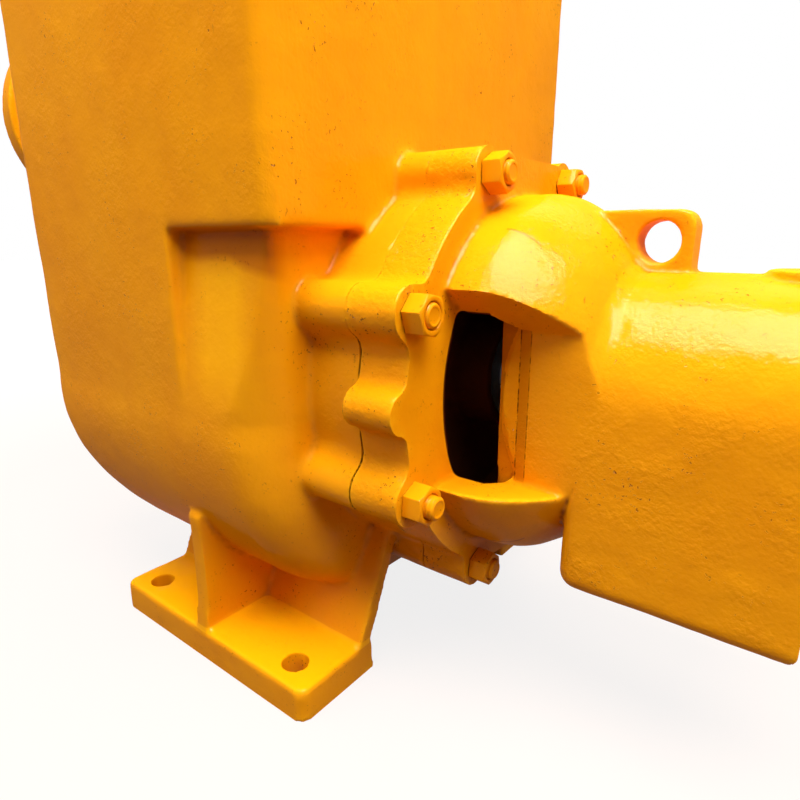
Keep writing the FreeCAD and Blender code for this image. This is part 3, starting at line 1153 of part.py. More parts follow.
def make_casing_plug():
    """The casing's drain plug."""
    x = drain_x
    low = bowl_z() - 8
    head = turn_to_z(hex_bar(0, 9.0, 24.0, 0, 0, -1), x, 0, low - 9)
    return {"casing_drain_plug": fuse([head, rod_z(low - 1, low + 20, 12.0, x, 0)])}


def build_all():
    """Every node of the pump."""
    nodes = {"pump_casing": make_casing(), "bearing_housing": make_housing()}
    for part in (make_joint_hardware(), make_seal_parts(), make_rotor(), make_bearings(), make_oil_fittings(),
                 make_front_cover(), make_check_valve(), make_discharge(), make_fill_port(),
                 make_casing_plug()):
        nodes.update(part)
    return nodes


def main():
    """Write one STEP file per node."""
    os.makedirs("parts", exist_ok=True)
    for name, shape in build_all().items():
        shape.exportStep("parts/%s.step" % name)
        print(name, "solids", len(shape.Solids), "valid", shape.isValid(), "cm3",
              round(shape.Volume / 1000, 1))


main()
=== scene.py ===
"""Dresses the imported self-priming sewage pump for its picture.

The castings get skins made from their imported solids, rounded and rippled as sand castings are.
The fasteners are milled afresh, every surface gets a procedural finish, and a plain studio with
the photograph's camera stands round it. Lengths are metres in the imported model's own frame.
"""

import json
import logging
import math
from dataclasses import dataclass, replace
from enum import Enum
from functools import reduce

import bmesh
import bpy
import numpy as np
from mathutils import Matrix, Vector, noise

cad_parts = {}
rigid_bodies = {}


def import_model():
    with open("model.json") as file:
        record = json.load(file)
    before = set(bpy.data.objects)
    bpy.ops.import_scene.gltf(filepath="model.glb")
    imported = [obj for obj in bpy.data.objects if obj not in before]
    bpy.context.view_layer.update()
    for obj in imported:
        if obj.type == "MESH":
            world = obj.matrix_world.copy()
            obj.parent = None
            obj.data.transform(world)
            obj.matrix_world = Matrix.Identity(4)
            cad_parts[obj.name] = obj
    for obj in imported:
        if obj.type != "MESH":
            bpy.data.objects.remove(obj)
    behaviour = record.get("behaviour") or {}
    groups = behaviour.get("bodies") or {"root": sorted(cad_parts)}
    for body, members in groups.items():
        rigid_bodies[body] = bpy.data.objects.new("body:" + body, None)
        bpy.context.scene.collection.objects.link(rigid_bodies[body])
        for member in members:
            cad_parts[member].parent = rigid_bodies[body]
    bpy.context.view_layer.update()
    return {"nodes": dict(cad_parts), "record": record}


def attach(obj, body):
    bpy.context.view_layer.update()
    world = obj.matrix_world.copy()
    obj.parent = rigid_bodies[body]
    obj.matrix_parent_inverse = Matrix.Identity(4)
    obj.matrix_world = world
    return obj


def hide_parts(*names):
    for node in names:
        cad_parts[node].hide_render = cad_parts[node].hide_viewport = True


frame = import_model()
log = logging.getLogger("pump")
SHAFT_Z, SUCTION_Z = 0.245, 0.495
CASING_FACE_X, PEDESTAL_FACE_X, FLANGE_FACE_X = 0.151, 0.152, 0.191
ZONE_FADE = 0.007
Colour = tuple[float, float, float]
Place = tuple[float, float, float]
Pair = tuple[float, float]
Socket, Material = bpy.types.NodeSocket, bpy.types.Material
Mesh, Object, Shape = bpy.types.Mesh, bpy.types.Object, bmesh.types.BMesh


class Slot(Enum):
    """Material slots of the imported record."""

    PAINT = "yellow_paint"
    STEEL = "machined_steel"
    IRON = "grey_iron"
    RUBBER = "black_rubber"
    BRASS = "brass"
    GLASS = "sight_glass"
    SEAL = "seal_face"


class Way(Enum):
    """Direction in which a fastener points."""

    PLUS_X = Vector((1.0, 0.0, 0.0))
    MINUS_X = Vector((-1.0, 0.0, 0.0))
    UP = Vector((0.0, 0.0, 1.0))
    DOWN = Vector((0.0, 0.0, -1.0))

    def at(self, level: float, spot: Pair) -> Place:
        """Places a point by its level along the direction's axis and its two other coordinates."""
        return (*spot, level) if self.value.x == 0.0 else (level, *spot)


class Mix:
    """The node tree of a material or of the world, built step by step."""

    def __init__(self, block: bpy.types.ID, shader: str = "Principled BSDF") -> None:
        """Starts with the tree's shader and the object coordinates.

        Args:
            block: The material or the world.
            shader: Name of its shader node.
        """
        block.use_nodes = True
        self.block, self.tree = block, block.node_tree
        self.shader = self.tree.nodes[shader]
        self.place = self.add("TexCoord").outputs["Object"]

    def add(self, kind: str, inputs: dict | None = None, **settings: object) -> bpy.types.Node:
        """Adds a node.

        Args:
            kind: Node type without its ShaderNode prefix.
            inputs: Values or sockets for the node's inputs.
            settings: Properties of the node.

        Returns:
            The new node.
        """
        node = self.tree.nodes.new("ShaderNode" + kind)
        for key, value in settings.items():
            setattr(node, key, value)
        for key, value in (inputs or {}).items():
            self.feed(node.inputs[key], value)
        return node

    def feed(self, socket: Socket, value: object) -> None:
        """Links a socket to another one, or sets its value.

        Args:
            socket: The input to set.
            value: A socket to link from, or a plain value.
        """
        if isinstance(value, Socket):
            self.tree.links.new(value, socket)
        else:
            socket.default_value = value

    def join(self, operation: str, *values: object) -> Socket:
        """Joins sockets and numbers by a mathematical operation, one after the other."""
        return reduce(lambda a, b: self.add("Math", {0: a, 1: b}, operation=operation).outputs[0], values)

    def times(self, *values: object) -> Socket:
        """Multiplies values."""
        return self.join("MULTIPLY", *values)

    def along(self, axis: str) -> Socket:
        """Reads the coordinate X, Y or Z."""
        return self.add("SeparateXYZ", {0: self.place}).outputs[axis]

    def aside(self) -> Socket:
        """Measures the distance from the pump's middle plane."""
        return self.add("Math", {0: self.along("Y")}, operation="ABSOLUTE").outputs[0]

    def bend(self) -> Socket:
        """Reads how the surface bends: below 0 on edges, above 0 in hollows."""
        return self.add("Attribute", attribute_name="bend").outputs["Fac"]

    def seen(self) -> Socket:
        """Gives 1 on rays that are seen, straight or in a shiny surface, and 0 on those that light."""
        rays = self.add("LightPath").outputs
        return self.join("MAXIMUM", *(rays[f"Is {kind} Ray"] for kind in ("Camera", "Glossy", "Transmission")))

    def noise(self, wave: float, detail: float = 2.0, rough: float = 0.5,
              stretch: Place = (1.0, 1.0, 1.0)) -> Socket:
        """Adds noise of that wave, with finer layers of that share, its frequency stretched along an axis."""
        turned = self.add("Mapping", {"Vector": self.place, "Scale": stretch}).outputs[0]
        return self.add("TexNoise", {"Vector": turned, "Scale": 1.0 / wave, "Detail": detail,
                                     "Roughness": rough}).outputs[0]

    def remap(self, value: Socket, low: float, high: float, to_low: float = 0.0,
              to_high: float = 1.0) -> Socket:
        """Stretches the range from low to high to the other range and clamps it."""
        return self.add("MapRange", {"Value": value, "From Min": low, "From Max": high,
                                     "To Min": to_low, "To Max": to_high}).outputs[0]

    def within(self, value: Socket, low: float, high: float, edge: float) -> Socket:
        """Gives 1 where a value is from low to high and 0 elsewhere, with soft edges of that width."""
        return self.times(self.remap(value, low - edge, low), self.remap(value, high + edge, high))

    def blend(self, share: object, first: object, second: object) -> Socket:
        """Mixes two colours, or sockets that carry them, by the share of the second one."""
        colours = [(*value, 1.0) if isinstance(value, tuple) else value for value in (first, second)]
        return self.add("Mix", {0: share, 6: colours[0], 7: colours[1]}, data_type="RGBA").outputs[2]

    def dent(self, height: Socket, depth: float, under: Socket | None = None) -> Socket:
        """Turns a pattern into relief of that depth, on top of the relief under it."""
        base = {} if under is None else {"Normal": under}
        return self.add("Bump", {"Height": height, "Distance": depth, "Strength": 1.0, **base}).outputs[0]

    def finish(self, **sockets: object) -> bpy.types.ID:
        """Sets the shader's inputs.

        Args:
            sockets: Values by input name, with underscores for spaces.

        Returns:
            The finished material or world.
        """
        for key, value in sockets.items():
            if isinstance(value, tuple) and len(value) == 3:
                value = (*value, 1.0)
            self.feed(self.shader.inputs[key.replace("_", " ")], value)
        return self.block


@dataclass(frozen=True)
class CastEnamel:
    """Thick gloss enamel brushed and sprayed over raw castings.

    Attributes:
        name: Material name.
        colour: Enamel where it lies thick.
        deep: Redder enamel in streaks and patches.
        rim: Enamel that has run thin and pale over an edge, which also paints a highlight along it.
        groove: Enamel and dirt that have gathered in a hollow, which also paints the shade there; pits take it
            too.
        crack: Dirt in the open joint between casing and pedestal.
        thin: Paler enamel that paints light on a face.
        gloss: Roughness of the clear top.
        clear: Weight of the clear top.
        lumps: Height of the casting's lumps under the enamel.
        grain: Height of the sand grain that shows through.
        peel: Height of the orange peel.
        joint_x: Middle of that joint.
        joint_open: Start, end and soft ends of its open part, in height.
    """

    name: str
    colour: Colour = (0.83, 0.315, 0.0022)
    deep: Colour = (0.74, 0.235, 0.0014)
    rim: Colour = (0.90, 0.40, 0.006)
    groove: Colour = (0.30, 0.070, 0.001)
    crack: Colour = (0.045, 0.006, 0.0)
    thin: Colour = (0.97, 0.43, 0.002)
    gloss: float = 0.10
    clear: float = 0.09
    lumps: float = 0.0005
    grain: float = 0.00045
    peel: float = 0.00010
    joint_x: float = (CASING_FACE_X + PEDESTAL_FACE_X) / 2
    joint_open: tuple[float, float, float] = (0.125, 0.284, 0.010)

    def make(self) -> Material:
        """Builds the material.

        Returns:
            The enamel.
        """
        mix = Mix(bpy.data.materials.new(self.name))
        sandy = self.sandy(mix)
        pits = self.pits(mix, sandy)
        relief = self.relief(mix, sandy, pits)
        colour, clear = self.local(mix, self.shades(mix, pits))
        return mix.finish(Base_Color=colour, Roughness=0.5, Normal=relief, Specular_IOR_Level=0.0,
                          Coat_Weight=clear, Coat_Roughness=self.gloss, Coat_Normal=relief)

    def sandy(self, mix: Mix) -> Socket:
        """Finds where the mould's sand shows: about 0 on smooth patches, 1 on rough ones."""
        return mix.remap(mix.noise(0.06), 0.42, 0.60, 0.15, 1.0)

    def pits(self, mix: Mix, sandy: Socket) -> Socket:
        """Scatters small ragged pits over rough patches, along the joint and on chipped edges.

        Args:
            mix: The material that is built.
            sandy: Where the sand shows.

        Returns:
            1 in a pit, 0 elsewhere.
        """
        ragged = mix.remap(mix.noise(0.0026, 2.0, 0.65), 0.635, 0.69)
        rare = mix.times(mix.remap(mix.noise(0.024), 0.47, 0.60), sandy)
        joint = mix.within(mix.along("X"), self.joint_x - 0.002, self.joint_x + 0.003, 0.004)
        spread = mix.times(joint, mix.remap(mix.noise(0.03), 0.40, 0.55))
        chipped = mix.times(mix.remap(mix.bend(), -0.22, -0.5), mix.remap(mix.noise(0.03), 0.45, 0.6))
        return mix.times(ragged, mix.join("MAXIMUM", rare, spread, chipped))

    def local(self, mix: Mix, colour: Socket) -> tuple[object, object]:
        """Gives the colour and the clear top's weight; a finish paints its own places here."""
        return colour, self.clear

    def shades(self, mix: Mix, pits: Socket) -> Socket:
        """Paints patches, streaks, pale rims of thin enamel and painted highlight, hollows darkened by dirt and
        painted shade, and the open joint.

        Args:
            mix: The material that is built.
            pits: Where the pits are.

        Returns:
            The colour.
        """
        patches = mix.noise(0.11, 3.0, 0.55)
        streaks = mix.noise(0.03, stretch=(1.0, 1.0, 0.22))
        colour = mix.blend(mix.remap(patches, 0.38, 0.72, 0.0, 0.5), self.colour, self.deep)
        colour = mix.blend(mix.remap(streaks, 0.5, 0.8, 0.0, 0.25), colour, self.deep)
        bend = mix.bend()
        broken = mix.noise(0.006, 3.0, 0.6)
        # Painted highlight: convex edges get the pale rim colour, with thin enamel there too.
        rims = mix.times(mix.remap(bend, -0.15, -0.7), mix.remap(broken, 0.35, 0.6, 0.2, 0.7))
        # Painted shade: concave hollows get the dark groove colour, with dirt there too.
        hollows = mix.times(mix.remap(bend, 0.15, 0.8), mix.remap(broken, 0.3, 0.6, 0.35, 0.8))
        line = mix.within(mix.along("X"), self.joint_x - 0.0004, self.joint_x + 0.0004, 0.0005)
        gap = mix.times(line, mix.within(mix.along("Z"), *self.joint_open), mix.remap(broken, 0.28, 0.42))
        for share, shade in ((rims, self.rim), (hollows, self.groove), (pits, self.groove), (gap, self.crack)):
            colour = mix.blend(share, colour, shade)
        return colour

    def relief(self, mix: Mix, sandy: Socket, pits: Socket) -> Socket:
        """Lays lumps, sand grain, pits, brush strokes and orange peel over each other.

        Args:
            mix: The material that is built.
            sandy: Where the sand shows.
            pits: Where the pits are.

        Returns:
            The relief's normal.
        """
        lumps = mix.dent(mix.noise(0.015, 2.0, 0.45), self.lumps)
        sanded = mix.dent(mix.times(mix.noise(0.0052, 3.0, 0.6), sandy), self.grain, lumps)
        pitted = mix.dent(pits, -0.5 * self.grain, sanded)
        brushed = mix.dent(mix.noise(0.0020, 1.0, 0.4, (1.0, 1.0, 0.14)), 0.6 * self.peel, pitted)
        return mix.dent(mix.noise(0.0026, 1.0, 0.4), self.peel, brushed)


@dataclass(frozen=True)
class CasingEnamel(CastEnamel):
    """The casing's enamel, with a painted shadow under the pocket's ledge and painted light on the pocket's
    face and the feet's tops.

    Attributes:
        shade: The painted shadow under the ledge.
        ledge_z: Height of the ledge.
        wash: How far the painted shadow reaches below it.
        pocket_end: Where the pocket ends towards the pedestal.
        pocket_side: Where its recessed face stands, from the middle.
        plate_z: Height of the feet's plates, whose tops get painted light too.
    """

    shade: Colour = (0.46, 0.085, 0.001)
    ledge_z: float = 0.357
    wash: float = 0.019
    pocket_end: float = 0.123
    pocket_side: float = 0.184
    plate_z: float = 0.027

    def local(self, mix: Mix, colour: Socket) -> tuple[object, object]:
        """Paints a shadow under the ledge, and paints light on the pocket's face and the feet's tops.

        Args:
            mix: The material that is built.
            colour: The enamel's colour.

        Returns:
            The colour and the weight of the clear top.
        """
        x, z, end = mix.along("X"), mix.along("Z"), self.pocket_end
        near = mix.remap(mix.aside(), self.pocket_side - 0.016, self.pocket_side - 0.004)
        # Painted light: the pocket's face and the feet's tops get the paler thin colour.
        pale = mix.times(mix.remap(z, 0.225, 0.270), mix.remap(z, 0.340, 0.325), near,
                         mix.within(x, end - 0.080, end - 0.050, 0.022))
        plates = mix.within(z, self.plate_z - 0.0010, self.plate_z + 0.0030, 0.0010)
        colour = mix.blend(mix.times(mix.join("MAXIMUM", pale, plates), 0.8), colour, self.thin)
        # Painted shadow under the ledge, its lower edge wandering and dropping towards the pocket's end.
        wander = mix.remap(mix.noise(0.05), 0.3, 0.7, -0.003, 0.003)
        drop = mix.remap(x, end - 0.055, end - 0.018, 0.0, 0.013)
        foot = self.ledge_z - self.wash
        dark = mix.times(mix.remap(mix.join("ADD", z, wander, drop), foot - 0.003, foot + 0.004),
                         mix.remap(z, self.ledge_z + 0.003, self.ledge_z - 0.002),
                         mix.within(x, end - 0.102, end - 0.020, 0.008), near)
        return mix.blend(mix.times(dark, 0.6), colour, self.shade), self.clear


@dataclass(frozen=True)
class NutEnamel(CastEnamel):
    """The enamel of the joint's nuts, with a broken dark line of dirt and painted contact shadow along their
    bearing faces.

    Attributes:
        dirt: Dirt and painted contact shadow along a bearing face.
    """

    dirt: Colour = (0.05, 0.012, 0.001)

    def local(self, mix: Mix, colour: Socket) -> tuple[object, object]:
        """Draws the dark foot line of dirt and painted contact shadow."""
        # Painted contact shadow, with dirt: a broken dark line just off the flange face.
        share = mix.times(mix.remap(mix.along("X"), FLANGE_FACE_X + 0.0012, FLANGE_FACE_X + 0.0007),
                          mix.remap(mix.noise(0.006), 0.35, 0.5))
        return mix.blend(share, colour, self.dirt), self.clear


@dataclass(frozen=True)
class PedestalEnamel(CastEnamel):
    """The pedestal's enamel, with its sandy flange rim, a dark bell mouth that is partly painted shade, painted
    shade on its window jambs, and window seams.

    Attributes:
        jamb: Redder, darker enamel that paints the shade on a window's jamb.
        block: Darker enamel that paints the shade on the sides of the block behind it.
        dirt: Dirt in a seam.
        mouth: The thin dull coat inside the bell's mouth, dark partly as painted shade.
        rim_end: End of the sandy rim along X.
        seam_x: Where the thin seam beside a window runs.
        jamb_x: Where the window's jamb ends.
    """

    jamb: Colour = (0.52, 0.15, 0.001)
    block: Colour = (0.42, 0.11, 0.001)
    dirt: Colour = (0.05, 0.012, 0.001)
    mouth: Colour = (0.100, 0.024, 0.003)
    rim_end: float = 0.1895
    seam_x: float = 0.2309
    jamb_x: float = 0.2390

    def radius(self, mix: Mix) -> Socket:
        """Measures the distance from the shaft line."""
        return mix.add("VectorMath", {0: mix.add("Mapping", {
            "Vector": mix.place, "Location": (0.0, 0.0, -SHAFT_Z), "Scale": (0.0, 1.0, 1.0),
        }).outputs[0]}, operation="LENGTH").outputs["Value"]

    def sandy(self, mix: Mix) -> Socket:
        """Adds the flange's rim, which is rough all over, to the sandy patches."""
        rim = mix.times(mix.within(mix.along("X"), PEDESTAL_FACE_X, self.rim_end, 0.001),
                        mix.remap(self.radius(mix), 0.138, 0.142, 0.0, 1.6))
        return mix.join("MAXIMUM", rim, super().sandy(mix))

    def local(self, mix: Mix, colour: Socket) -> tuple[object, object]:
        """Darkens the bell's mouth, partly as painted shade, paints shade on its windows' jambs and block
        sides, and draws the seams.

        Args:
            mix: The material that is built.
            colour: The enamel's colour.

        Returns:
            The colour and the weight of the clear top.
        """
        x, aside = mix.along("X"), mix.aside()
        side = mix.times(mix.within(aside, 0.0806, 0.0850, 0.0003),
                         mix.within(mix.along("Z"), 0.1880, 0.2970, 0.001))
        broken = mix.remap(mix.noise(0.0045, 3.0, 0.7), 0.40, 0.56)
        seam = mix.times(mix.within(x, self.seam_x - 0.0002, self.seam_x + 0.0002, 0.0005), broken)
        chips = mix.times(mix.within(x, self.jamb_x - 0.0001, self.jamb_x + 0.0001, 0.0005),
                          mix.remap(broken, 0.2, 1.0, 0.0, 0.75))
        # Painted shade on each window's jamb.
        jamb = mix.times(mix.within(x, self.seam_x, self.jamb_x, 0.0003), side, 0.55)
        # Painted shade on the sides of the block behind the window.
        block = mix.times(mix.within(aside, 0.0790, 0.0803, 0.0002), mix.within(x, 0.2155, 0.2400, 0.0005), 0.5)
        lines = mix.times(mix.join("MAXIMUM", seam, chips), side)
        # Painted shade with a dull dark coat: the bell's mouth goes dark and loses its clear top.
        mouth = mix.times(mix.within(self.radius(mix), 0.1005, 0.1132, 0.001), mix.remap(x, 0.2158, 0.2150))
        for share, shade in ((jamb, self.jamb), (block, self.block), (lines, self.dirt), (mouth, self.mouth)):
            colour = mix.blend(share, colour, shade)
        return colour, mix.remap(mouth, 0.0, 1.0, self.clear, 0.0)


@dataclass(frozen=True)
class PlainFinish:
    """A surface with patches of a second colour over a fine grain, turned steel unless it is told otherwise.

    Attributes:
        name: Material name.
        colour: The clean surface.
        second: The oily, rusty, dusty or tarnished surface.
        patch: Size and layers of the patches' noise.
        span: Noise levels where a patch starts and is full, and its share when it is full.
        grain: Size, layers and roughness of the grain's noise.
        stretch: Factor on the grain's frequency along each axis.
        depth: Height of the grain.
        gloss: Roughness.
        smeared: Whether the roughness varies.
        metal: Share of bare metal.
        level: Specular level.
    """

    name: str
    colour: Colour = (0.60, 0.60, 0.61)
    second: Colour = (0.36, 0.34, 0.31)
    patch: Pair = (0.018, 4.0)
    span: tuple[float, float, float] = (0.45, 0.75, 1.0)
    grain: tuple[float, float, float] = (0.0007, 1.0, 0.5)
    stretch: Place = (1.0, 0.05, 0.05)
    depth: float = 0.00002
    gloss: float = 0.28
    smeared: bool = True
    metal: float = 1.0
    level: float = 0.5

    def make(self) -> Material:
        """Builds the material.

        Returns:
            The material.
        """
        mix, gloss = Mix(bpy.data.materials.new(self.name)), self.gloss
        start, full, most = self.span
        patches = mix.remap(mix.noise(*self.patch, 0.6), start, full, 0.0, most)
        if self.smeared:
            gloss = mix.remap(mix.noise(0.01, 3.0, 0.6), 0.3, 0.7, self.gloss - 0.07, self.gloss + 0.1)
        return mix.finish(Base_Color=mix.blend(patches, self.colour, self.second), Metallic=self.metal,
                          Roughness=gloss, Specular_IOR_Level=self.level,
                          Normal=mix.dent(mix.noise(*self.grain, self.stretch), self.depth))


@dataclass(frozen=True)
class GaugeGlass:
    """Clear thick glass with a faint oil film.

    Attributes:
        name: Material name.
        colour: Glass with light oil behind it.
    """

    name: str
    colour: Colour = (0.92, 0.86, 0.66)

    def make(self) -> Material:
        """Builds the material."""
        mix = Mix(bpy.data.materials.new(self.name))
        return mix.finish(Base_Color=self.colour, IOR=1.5, Transmission_Weight=0.9,
                          Roughness=mix.remap(mix.noise(0.006, 3.0), 0.4, 0.7, 0.04, 0.12))


@dataclass(frozen=True)
class Zone:
    """A slab, rod or ring of a casting.

    Attributes:
        axis: Axis that the slab lies across, or the rod lies along.
        low: Start along the axis.
        high: End along the axis.
        centre: The rod's line on the two other axes, or None for a slab.
        radius: The rod's radius.
        inner: Inner radius, where the zone is a ring.
        keep: How far its points may relax, from 0 to 1.
    """

    axis: int
    low: float
    high: float
    centre: Pair | None = None
    radius: float = 0.0
    inner: float = 0.0
    keep: float = 0.15

    def nearness(self, points: np.ndarray) -> np.ndarray:
        """Measures how near points lie to the zone.

        Args:
            points: Coordinates, one row a point.

        Returns:
            One value a point, 1 inside the zone and 0 from its fading distance on.
        """
        along = points[:, self.axis]
        out = np.maximum(np.maximum(self.low - along, along - self.high), 0.0)
        if self.centre is not None:
            across = np.delete(points, self.axis, axis=1) - np.array(self.centre)
            away = np.hypot(across[:, 0], across[:, 1])
            out = np.maximum(out, np.maximum(away - self.radius, self.inner - away))
        return 1.0 - np.clip(out / ZONE_FADE, 0.0, 1.0)


@dataclass
class CastSkin:
    """A casting's visible skin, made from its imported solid.

    The solid is remeshed in small cells, its edges are relaxed to foundry radii except in the
    machined zones, and the surface gets the long waves that a sand mould leaves.

    Attributes:
        node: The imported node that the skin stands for.
        body: The body that it moves with.
        finish: Its material.
        cell: Size of the remeshing cells.
        passes: Relaxing passes, which set the edge radius.
        faces: Most triangles that are kept.
        ripple: Height of the waves.
        lumps: Height of the lumps.
        slot: The record's slot of its material.
        crisp: Machined zones.
        rolled: Rods along edges that are rounder than the rest.
        joint: Plane across X where it meets its neighbour, and the neighbour's side, +1 or -1.
        windows: Whether it has the bell's windows, whose jambs are cut back.
    """

    node: str
    body: str
    finish: Material
    cell: float
    passes: int
    faces: int
    ripple: float = 0.0014
    lumps: float = 0.0003
    slot: Slot = Slot.PAINT
    crisp: tuple[Zone, ...] = ()
    rolled: tuple[Zone, ...] = ()
    joint: Pair | None = None
    windows: bool = False

    def mark_zones(self, obj: Object) -> None:
        """Gives the object its vertex groups: how far a point may relax, and what is machined or rolled.

        Args:
            obj: The remeshed casting.
        """
        points = read_points(obj.data)
        soft = np.ones(len(points))
        for zone in self.crisp:
            soft = np.minimum(soft, 1.0 - (1.0 - zone.keep) * zone.nearness(points))
        levels = np.round(soft * 8).astype(int)
        for level in range(9):
            add_group(obj, "soft", levels == level, level / 8)
        add_group(obj, "machined", levels <= 2, 1.0)
        for zone in self.rolled:
            levels = np.round(zone.nearness(points) * 4)
            for level in range(1, 5):
                add_group(obj, "rolled", levels == level, level / 4)

    def relaxed(self, shell: Mesh) -> Mesh:
        """Rounds the remeshed casting, snaps its machined edges and lays the mould's waves on it.

        Args:
            shell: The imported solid's joined mesh.

        Returns:
            The dense skin.
        """
        rough = make_object(self.node + "_rough", shell)
        modify(rough, "REMESH", mode="VOXEL", voxel_size=self.cell * 1.0)
        solid = make_object(self.node + "_solid", baked(rough))
        rough.modifiers.clear()
        self.mark_zones(solid)
        modify(solid, "SMOOTH", factor=0.5, iterations=self.passes, vertex_group="soft")
        if self.rolled:
            modify(solid, "SMOOTH", factor=0.5, iterations=14, vertex_group="rolled")
        if self.crisp:
            modify(solid, "DISPLACE", direction="NORMAL", mid_level=0.0, strength=0.6 * self.cell,
                   vertex_group="machined")
            modify(solid, "SHRINKWRAP", target=rough, vertex_group="machined",
                   wrap_method="NEAREST_SURFACEPOINT", wrap_mode="ON_SURFACE")
        for wave, height in ((0.045, self.ripple), (0.013, self.lumps)):
            waves = bpy.data.textures.new("waves", "CLOUDS")
            waves.noise_scale, waves.noise_depth = wave, 2
            modify(solid, "DISPLACE", texture=waves, texture_coords="LOCAL", direction="NORMAL",
                   strength=height, mid_level=0.5, vertex_group="soft")
        mesh = baked(solid)
        for used in (rough, solid):
            bpy.data.objects.remove(used)
        return mesh

    def fit(self, mesh: Mesh) -> None:
        """Closes the joint with its neighbour where the enamel bridges it, and cuts the jambs back.

        Args:
            mesh: The dense skin.
        """
        points = read_points(mesh)
        if self.joint is not None:
            plane, side = self.joint
            radius = np.hypot(points[:, 1], points[:, 2] - SHAFT_Z)
            for spot in np.nonzero((np.abs(points[:, 0] - plane) < 0.0008) & (radius > 0.125))[0]:
                wander = noise.noise(Vector((0.0, points[spot, 1], points[spot, 2])) * 26.0)
                bridge = 0.0001 + 0.011 * (points[spot, 2] - 0.290)
                points[spot, 0] += side * min(max(0.0, bridge + 0.0007 * wander), 0.0010)
        if self.windows:
            aside, height = np.abs(points[:, 1]), points[:, 2]
            depth = 0.0019 * np.clip((PedestalEnamel.jamb_x - points[:, 0]) / 0.0080, 0.0, 1.0)
            depth *= np.clip((aside - 0.0808) / 0.0024, 0.0, 1.0)
            face = (aside < 0.0856) & (points[:, 0] > 0.2185)
            open_part = (height > 0.1865) & (height < 0.2985)
            points[:, 1] -= np.sign(points[:, 1]) * depth * (face & open_part)
        mesh.vertices.foreach_set("co", points.ravel())
        mesh.update()

    def build(self) -> None:
        """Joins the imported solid's loose triangles, makes the skin and puts it in the node's place."""
        shell = bmesh.new()
        shell.from_mesh(frame["nodes"][self.node].data)
        bmesh.ops.remove_doubles(shell, verts=shell.verts, dist=1e-6)
        dense = self.relaxed(as_mesh(self.node + "_merged", shell))
        self.fit(dense)
        solid = make_object(self.node + "_dense", dense)
        modify(solid, "DECIMATE", ratio=min(1.0, self.faces / (2.0 * len(dense.polygons))))
        mesh = baked(solid)
        bpy.data.objects.remove(solid)
        mesh.set_sharp_from_angle(angle=math.radians(44))
        note_bend(mesh)
        place(make_object(self.node + "_skin", mesh), self.body, self.finish, self.slot, self.node)


def make_object(name: str, data: bpy.types.ID) -> Object:
    """Links a mesh, a lamp or a camera to the scene as an object at the origin.

    Args:
        name: Name of the object.
        data: What it shows.

    Returns:
        The object.
    """
    obj = bpy.data.objects.new(name, data)
    bpy.context.scene.collection.objects.link(obj)
    return obj


def as_mesh(name: str, shape: Shape) -> Mesh:
    """Turns a bmesh into a mesh and frees it.

    Args:
        name: Name of the mesh.
        shape: The bmesh.

    Returns:
        The mesh.
    """
    mesh = bpy.data.meshes.new(name)
    shape.to_mesh(mesh)
    shape.free()
    return mesh


def modify(obj: Object, kind: str, **settings: object) -> None:
    """Adds a modifier of that kind with those properties."""
    modifier = obj.modifiers.new(kind, kind)
    for key, value in settings.items():
        setattr(modifier, key, value)


def baked(obj: Object) -> Mesh:
    """Applies an object's modifiers to a new mesh."""
    return bpy.data.meshes.new_from_object(obj.evaluated_get(bpy.context.evaluated_depsgraph_get()))


def add_group(obj: Object, name: str, chosen: np.ndarray, weight: float) -> None:
    """Puts points into a vertex group, which is made if it isn't there."""
    group = obj.vertex_groups.get(name) or obj.vertex_groups.new(name=name)
    group.add(np.nonzero(chosen)[0].tolist(), weight, "REPLACE")


def read_points(mesh: Mesh, layer: str = "co") -> np.ndarray:
    """Reads a mesh's points.

    Args:
        mesh: The mesh.
        layer: The coordinates, or the normals.

    Returns:
        Three values for each point, one row a point.
    """
    points = np.empty(len(mesh.vertices) * 3)
    mesh.vertices.foreach_get(layer, points)
    return points.reshape(-1, 3)


def note_bend(mesh: Mesh) -> None:
    """Writes down where a surface bends: below 0 on edges, above 0 in hollows.

    Args:
        mesh: The mesh, which gets the point attribute "bend".
    """
    count = len(mesh.vertices)
    spots, facing = read_points(mesh), read_points(mesh, "normal")
    ends = np.empty(len(mesh.edges) * 2, dtype=np.int64)
    mesh.edges.foreach_get("vertices", ends)
    first, second = ends.reshape(-1, 2).T
    step = spots[second] - spots[first]
    length = np.maximum(np.linalg.norm(step, axis=1), 1e-7)
    turn = np.einsum("ij,ij->i", facing[second] - facing[first], step) / length ** 2
    near = np.maximum(np.bincount(ends, minlength=count), 1)
    bend = np.zeros(count)
    for side in (first, second):
        bend -= np.bincount(side, weights=turn, minlength=count)
    bend /= near
    for _ in range(2):
        total = sum(np.bincount(side, weights=bend[other], minlength=count)
                    for side, other in ((first, second), (second, first)))
        bend = 0.5 * bend + 0.5 * total / near
    values = mesh.attributes.new("bend", "FLOAT", "POINT")
    values.data.foreach_set("value", np.clip(bend * 0.004, -1.0, 1.0).astype(np.float32))


def place(obj: Object, body: str, finish: Material, slot: Slot, *nodes: str) -> None:
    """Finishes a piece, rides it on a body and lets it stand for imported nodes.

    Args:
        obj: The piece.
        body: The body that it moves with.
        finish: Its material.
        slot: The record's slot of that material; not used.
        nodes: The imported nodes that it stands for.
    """
    obj.data.materials.clear()
    obj.data.materials.append(finish)
    for face in obj.data.polygons:
        face.use_smooth = True
    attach(obj, body)
    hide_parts(*nodes)
    log.info("%s: %d faces on %s", obj.name, len(obj.data.polygons), body)


